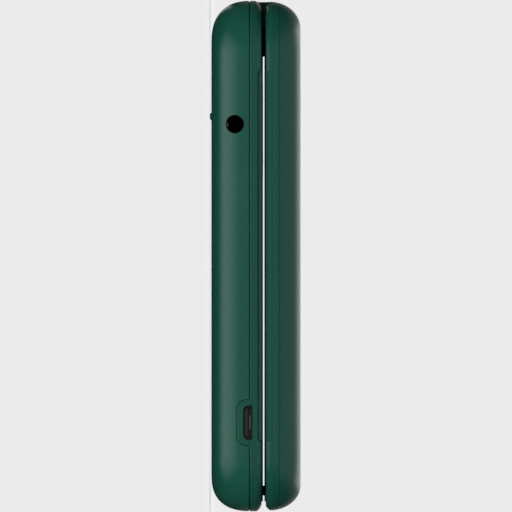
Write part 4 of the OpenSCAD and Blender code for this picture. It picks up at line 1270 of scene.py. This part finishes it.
class PHONE_OT_bumpers(bpy.types.Operator):
    """Two rubber bumpers at the lid's open end"""

    bl_idname = "phone.bumpers"
    bl_label = "Bumpers"

    def execute(self, context):
        low, high = span("bumpers")
        r, y, foot = (high[1] - low[1]) / 3, (low[1] + high[1]) / 2 - 0.45, low[2]
        profile = [(0.12, foot + 0.012), (0.55, foot + 0.015), *bend(r, foot + 0.12, 0.1, 6, up=-1)[::-1]]
        profile += [(r, high[2] + 0.02)]
        dots = join(*(turned(profile, 40, (x, y, 0)) for x in (low[0] + 1.5 * r, high[0] - 1.5 * r)))
        make_piece("bumper_dots", dots, "bumper_rubber", "lid", "bumpers")
        return {"FINISHED"}


class PHONE_OT_finishes(bpy.types.Operator):
    """Materials of the inner parts, which keep their CAD shapes"""

    bl_idname = "phone.finishes"
    bl_label = "Inner finishes"

    def execute(self, context):
        for name, nodes in INNER_FINISHES.items():
            for node in nodes:
                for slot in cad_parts[node].material_slots:
                    slot.material = finish(name)
        return {"FINISHED"}


FLOOR_HALF = 3.0
# Level of the dark surroundings in mirror-like paths.
DARK = 0.012


def floor_look(t, back):
    """Pale floor that fades to the backdrop; in mirror-like paths it is a set of dark and glowing cards,
    painted reflections.
    """
    where = t.here()
    path = t.node("ShaderNodeLightPath")
    seen, mirrored = path[0], path[3]
    fade = t.step(t.length(where), 0.1, 0.4)
    x, y, _ = t.split(where)
    aside, along = abs(x), abs(y)
    # Painted reflections that only mirror-like paths see: glowing strips beside the phone, one behind its
    # hinge end, and pale far corners.
    near = t.step(aside, 0.0238, 0.0268) * (0.17 + 0.93 * (1 - t.step(aside, 0.026, 0.042)))
    ends = t.step(y, 0.0495, 0.0515) * (1 - t.step(y, 0.056, 0.066)) * t.step(x, -0.014, -0.006)
    beyond = t.step(along, 0.06, 0.09) * t.step(x, 0.01, 0.08) * 0.12
    strip = near * (1 - t.step(along, 0.041, 0.052)) + ends + beyond
    pale = t.node("ShaderNodeBsdfDiffuse", None, Color=(0.55, 0.55, 0.55))[0]
    # What the camera sees gets more light under the phone, where the contact shadow would be too dark.
    under = (1 - t.step(aside, 0.02, 0.025)) * (1 - t.step(along, 0.046, 0.052))
    fill = t.glow(back, seen * (0.58 + 0.36 * under))
    lit = t.node("ShaderNodeAddShader", None, pale, fill)[0]
    base = t.node("ShaderNodeMixShader", None, fade * seen, lit, t.glow(back, 1.0))[0]
    t.finish(t.node("ShaderNodeMixShader", None, mirrored, base, t.glow((1, 1, 1), strip + DARK))[0])


def world_look(t, back):
    """Even backdrop for the camera, large soft cards for mirror-like paths and a low level for all others."""
    path = t.node("ShaderNodeLightPath")
    camera, mirror = path[0], path[3]
    x, y, z = t.split(t.node("ShaderNodeTexCoord")[0])
    across = abs(y)
    # Cards that mirror-like paths see: a wedge behind the phone, its lower rim, the front, and both sides.
    behind = t.step(x, 0.33, 0.84) * t.step(z - 2.3 * across, -0.04, 0.2) * 1.2
    rim = t.step(x, 0.93, 0.99) * t.step(z, -0.05, 0.02) * 0.7
    front = (1 - t.step(across, 0.2, 0.75)) * (0.14 + 0.16 * t.step(z, 0.45, 0.9))
    side = t.step(across, 0.08, 0.3) * t.step(x, 0.6, 0.95) * 0.15
    glossy = behind + rim + front + side + DARK
    soft = 0.1
    level = camera + (1 - camera) * (mirror * glossy + (1 - mirror) * soft)
    sky = t.node("ShaderNodeBackground", None, Color=back, Strength=level)[0]
    t.node("ShaderNodeOutputWorld", None, sky)


# Place, width, height and power of the lamps, which look at the origin.
LAMPS = {
    "low_softbox": ((-0.96, 0.0, -0.7), 0.4, 0.3, 10.0),
    "front_softbox": ((-1.2, 0.0, 0.5), 0.5, 0.3, 4.6),
    "overhead_softbox": ((0.1, 0.0, 0.9), 0.6, 0.5, 3.5),
    "back_softbox": ((1.2, 0.0, 0.6), 0.6, 0.4, 5.0),
}


class PHONE_OT_stage(bpy.types.Operator):
    """Floor, world, lamps and camera"""

    bl_idname = "phone.stage"
    bl_label = "Stage"

    def execute(self, context):
        scene = context.scene
        scene.view_settings.view_transform = "Standard"
        back = linear((235, 235, 235))

        mesh = bpy.data.meshes.new("floor")
        corners = [(x * FLOOR_HALF, y * FLOOR_HALF, 0) for x, y in ((-1, -1), (1, -1), (1, 1), (-1, 1))]
        mesh.from_pydata(corners, [], [(0, 1, 2, 3)])
        floor = put("floor", mesh)
        pale = bpy.data.materials.new("pale_floor")
        floor_look(Tree(pale), back)
        mesh.materials.append(pale)
        floor.visible_shadow = False

        scene.world = bpy.data.worlds.new("studio")
        world_look(Tree(scene.world), back)

        for name, (place, width, height, power) in LAMPS.items():
            light = bpy.data.lights.new(name, "AREA")
            light.shape, light.size, light.size_y, light.energy = "RECTANGLE", width, height, power
            lamp = put(name, light)
            lamp.visible_glossy = False
            spot = Matrix.Translation(place)
            lamp.matrix_world = spot @ (-spot.translation).to_track_quat("-Z", "Y").to_matrix().to_4x4()

        camera = put("camera", bpy.data.cameras.new("camera"))
        camera.data.sensor_width, camera.data.lens = 36.0, 800.0
        camera.data.clip_start, camera.data.clip_end = 0.01, 20
        away, aside, up = -2.4244, 0.000005, 0.00979
        camera.matrix_world = Matrix(((0, 0, -1, away), (0, 1, 0, aside), (1, 0, 0, up), (0, 0, 0, 1)))
        scene.camera = camera
        return {"FINISHED"}


STEPS = (
    PHONE_OT_base_shells,
    PHONE_OT_lid_shells,
    PHONE_OT_hinge,
    PHONE_OT_ports,
    PHONE_OT_keypad,
    PHONE_OT_glass,
    PHONE_OT_camera,
    PHONE_OT_side_controls,
    PHONE_OT_bumpers,
    PHONE_OT_finishes,
    PHONE_OT_stage,
)


class PHONE_PT_panel(bpy.types.Panel):
    """Sizes, colours and build steps of the phone"""

    bl_label = "Clamshell Phone"
    bl_idname = "PHONE_PT_panel"
    bl_space_type = "VIEW_3D"
    bl_region_type = "UI"
    bl_category = "Phone"

    def draw(self, context):
        for group in (context.scene.phone_sizes, context.scene.phone_colours):
            for name in type(group).__annotations__:
                self.layout.prop(group, name)
        for step in STEPS:
            self.layout.operator(step.bl_idname)


CLASSES = (PhoneSizes, PhoneColours, *STEPS, PHONE_PT_panel)


def register():
    for cls in CLASSES:
        bpy.utils.register_class(cls)
    bpy.types.Scene.phone_sizes = bpy.props.PointerProperty(type=PhoneSizes)
    bpy.types.Scene.phone_colours = bpy.props.PointerProperty(type=PhoneColours)


def unregister():
    del bpy.types.Scene.phone_colours
    del bpy.types.Scene.phone_sizes
    for cls in reversed(CLASSES):
        bpy.utils.unregister_class(cls)


def main():
    register()
    for step in STEPS:
        group, name = step.bl_idname.split(".")
        getattr(getattr(bpy.ops, group), name)()


if __name__ == "__main__":
    main()
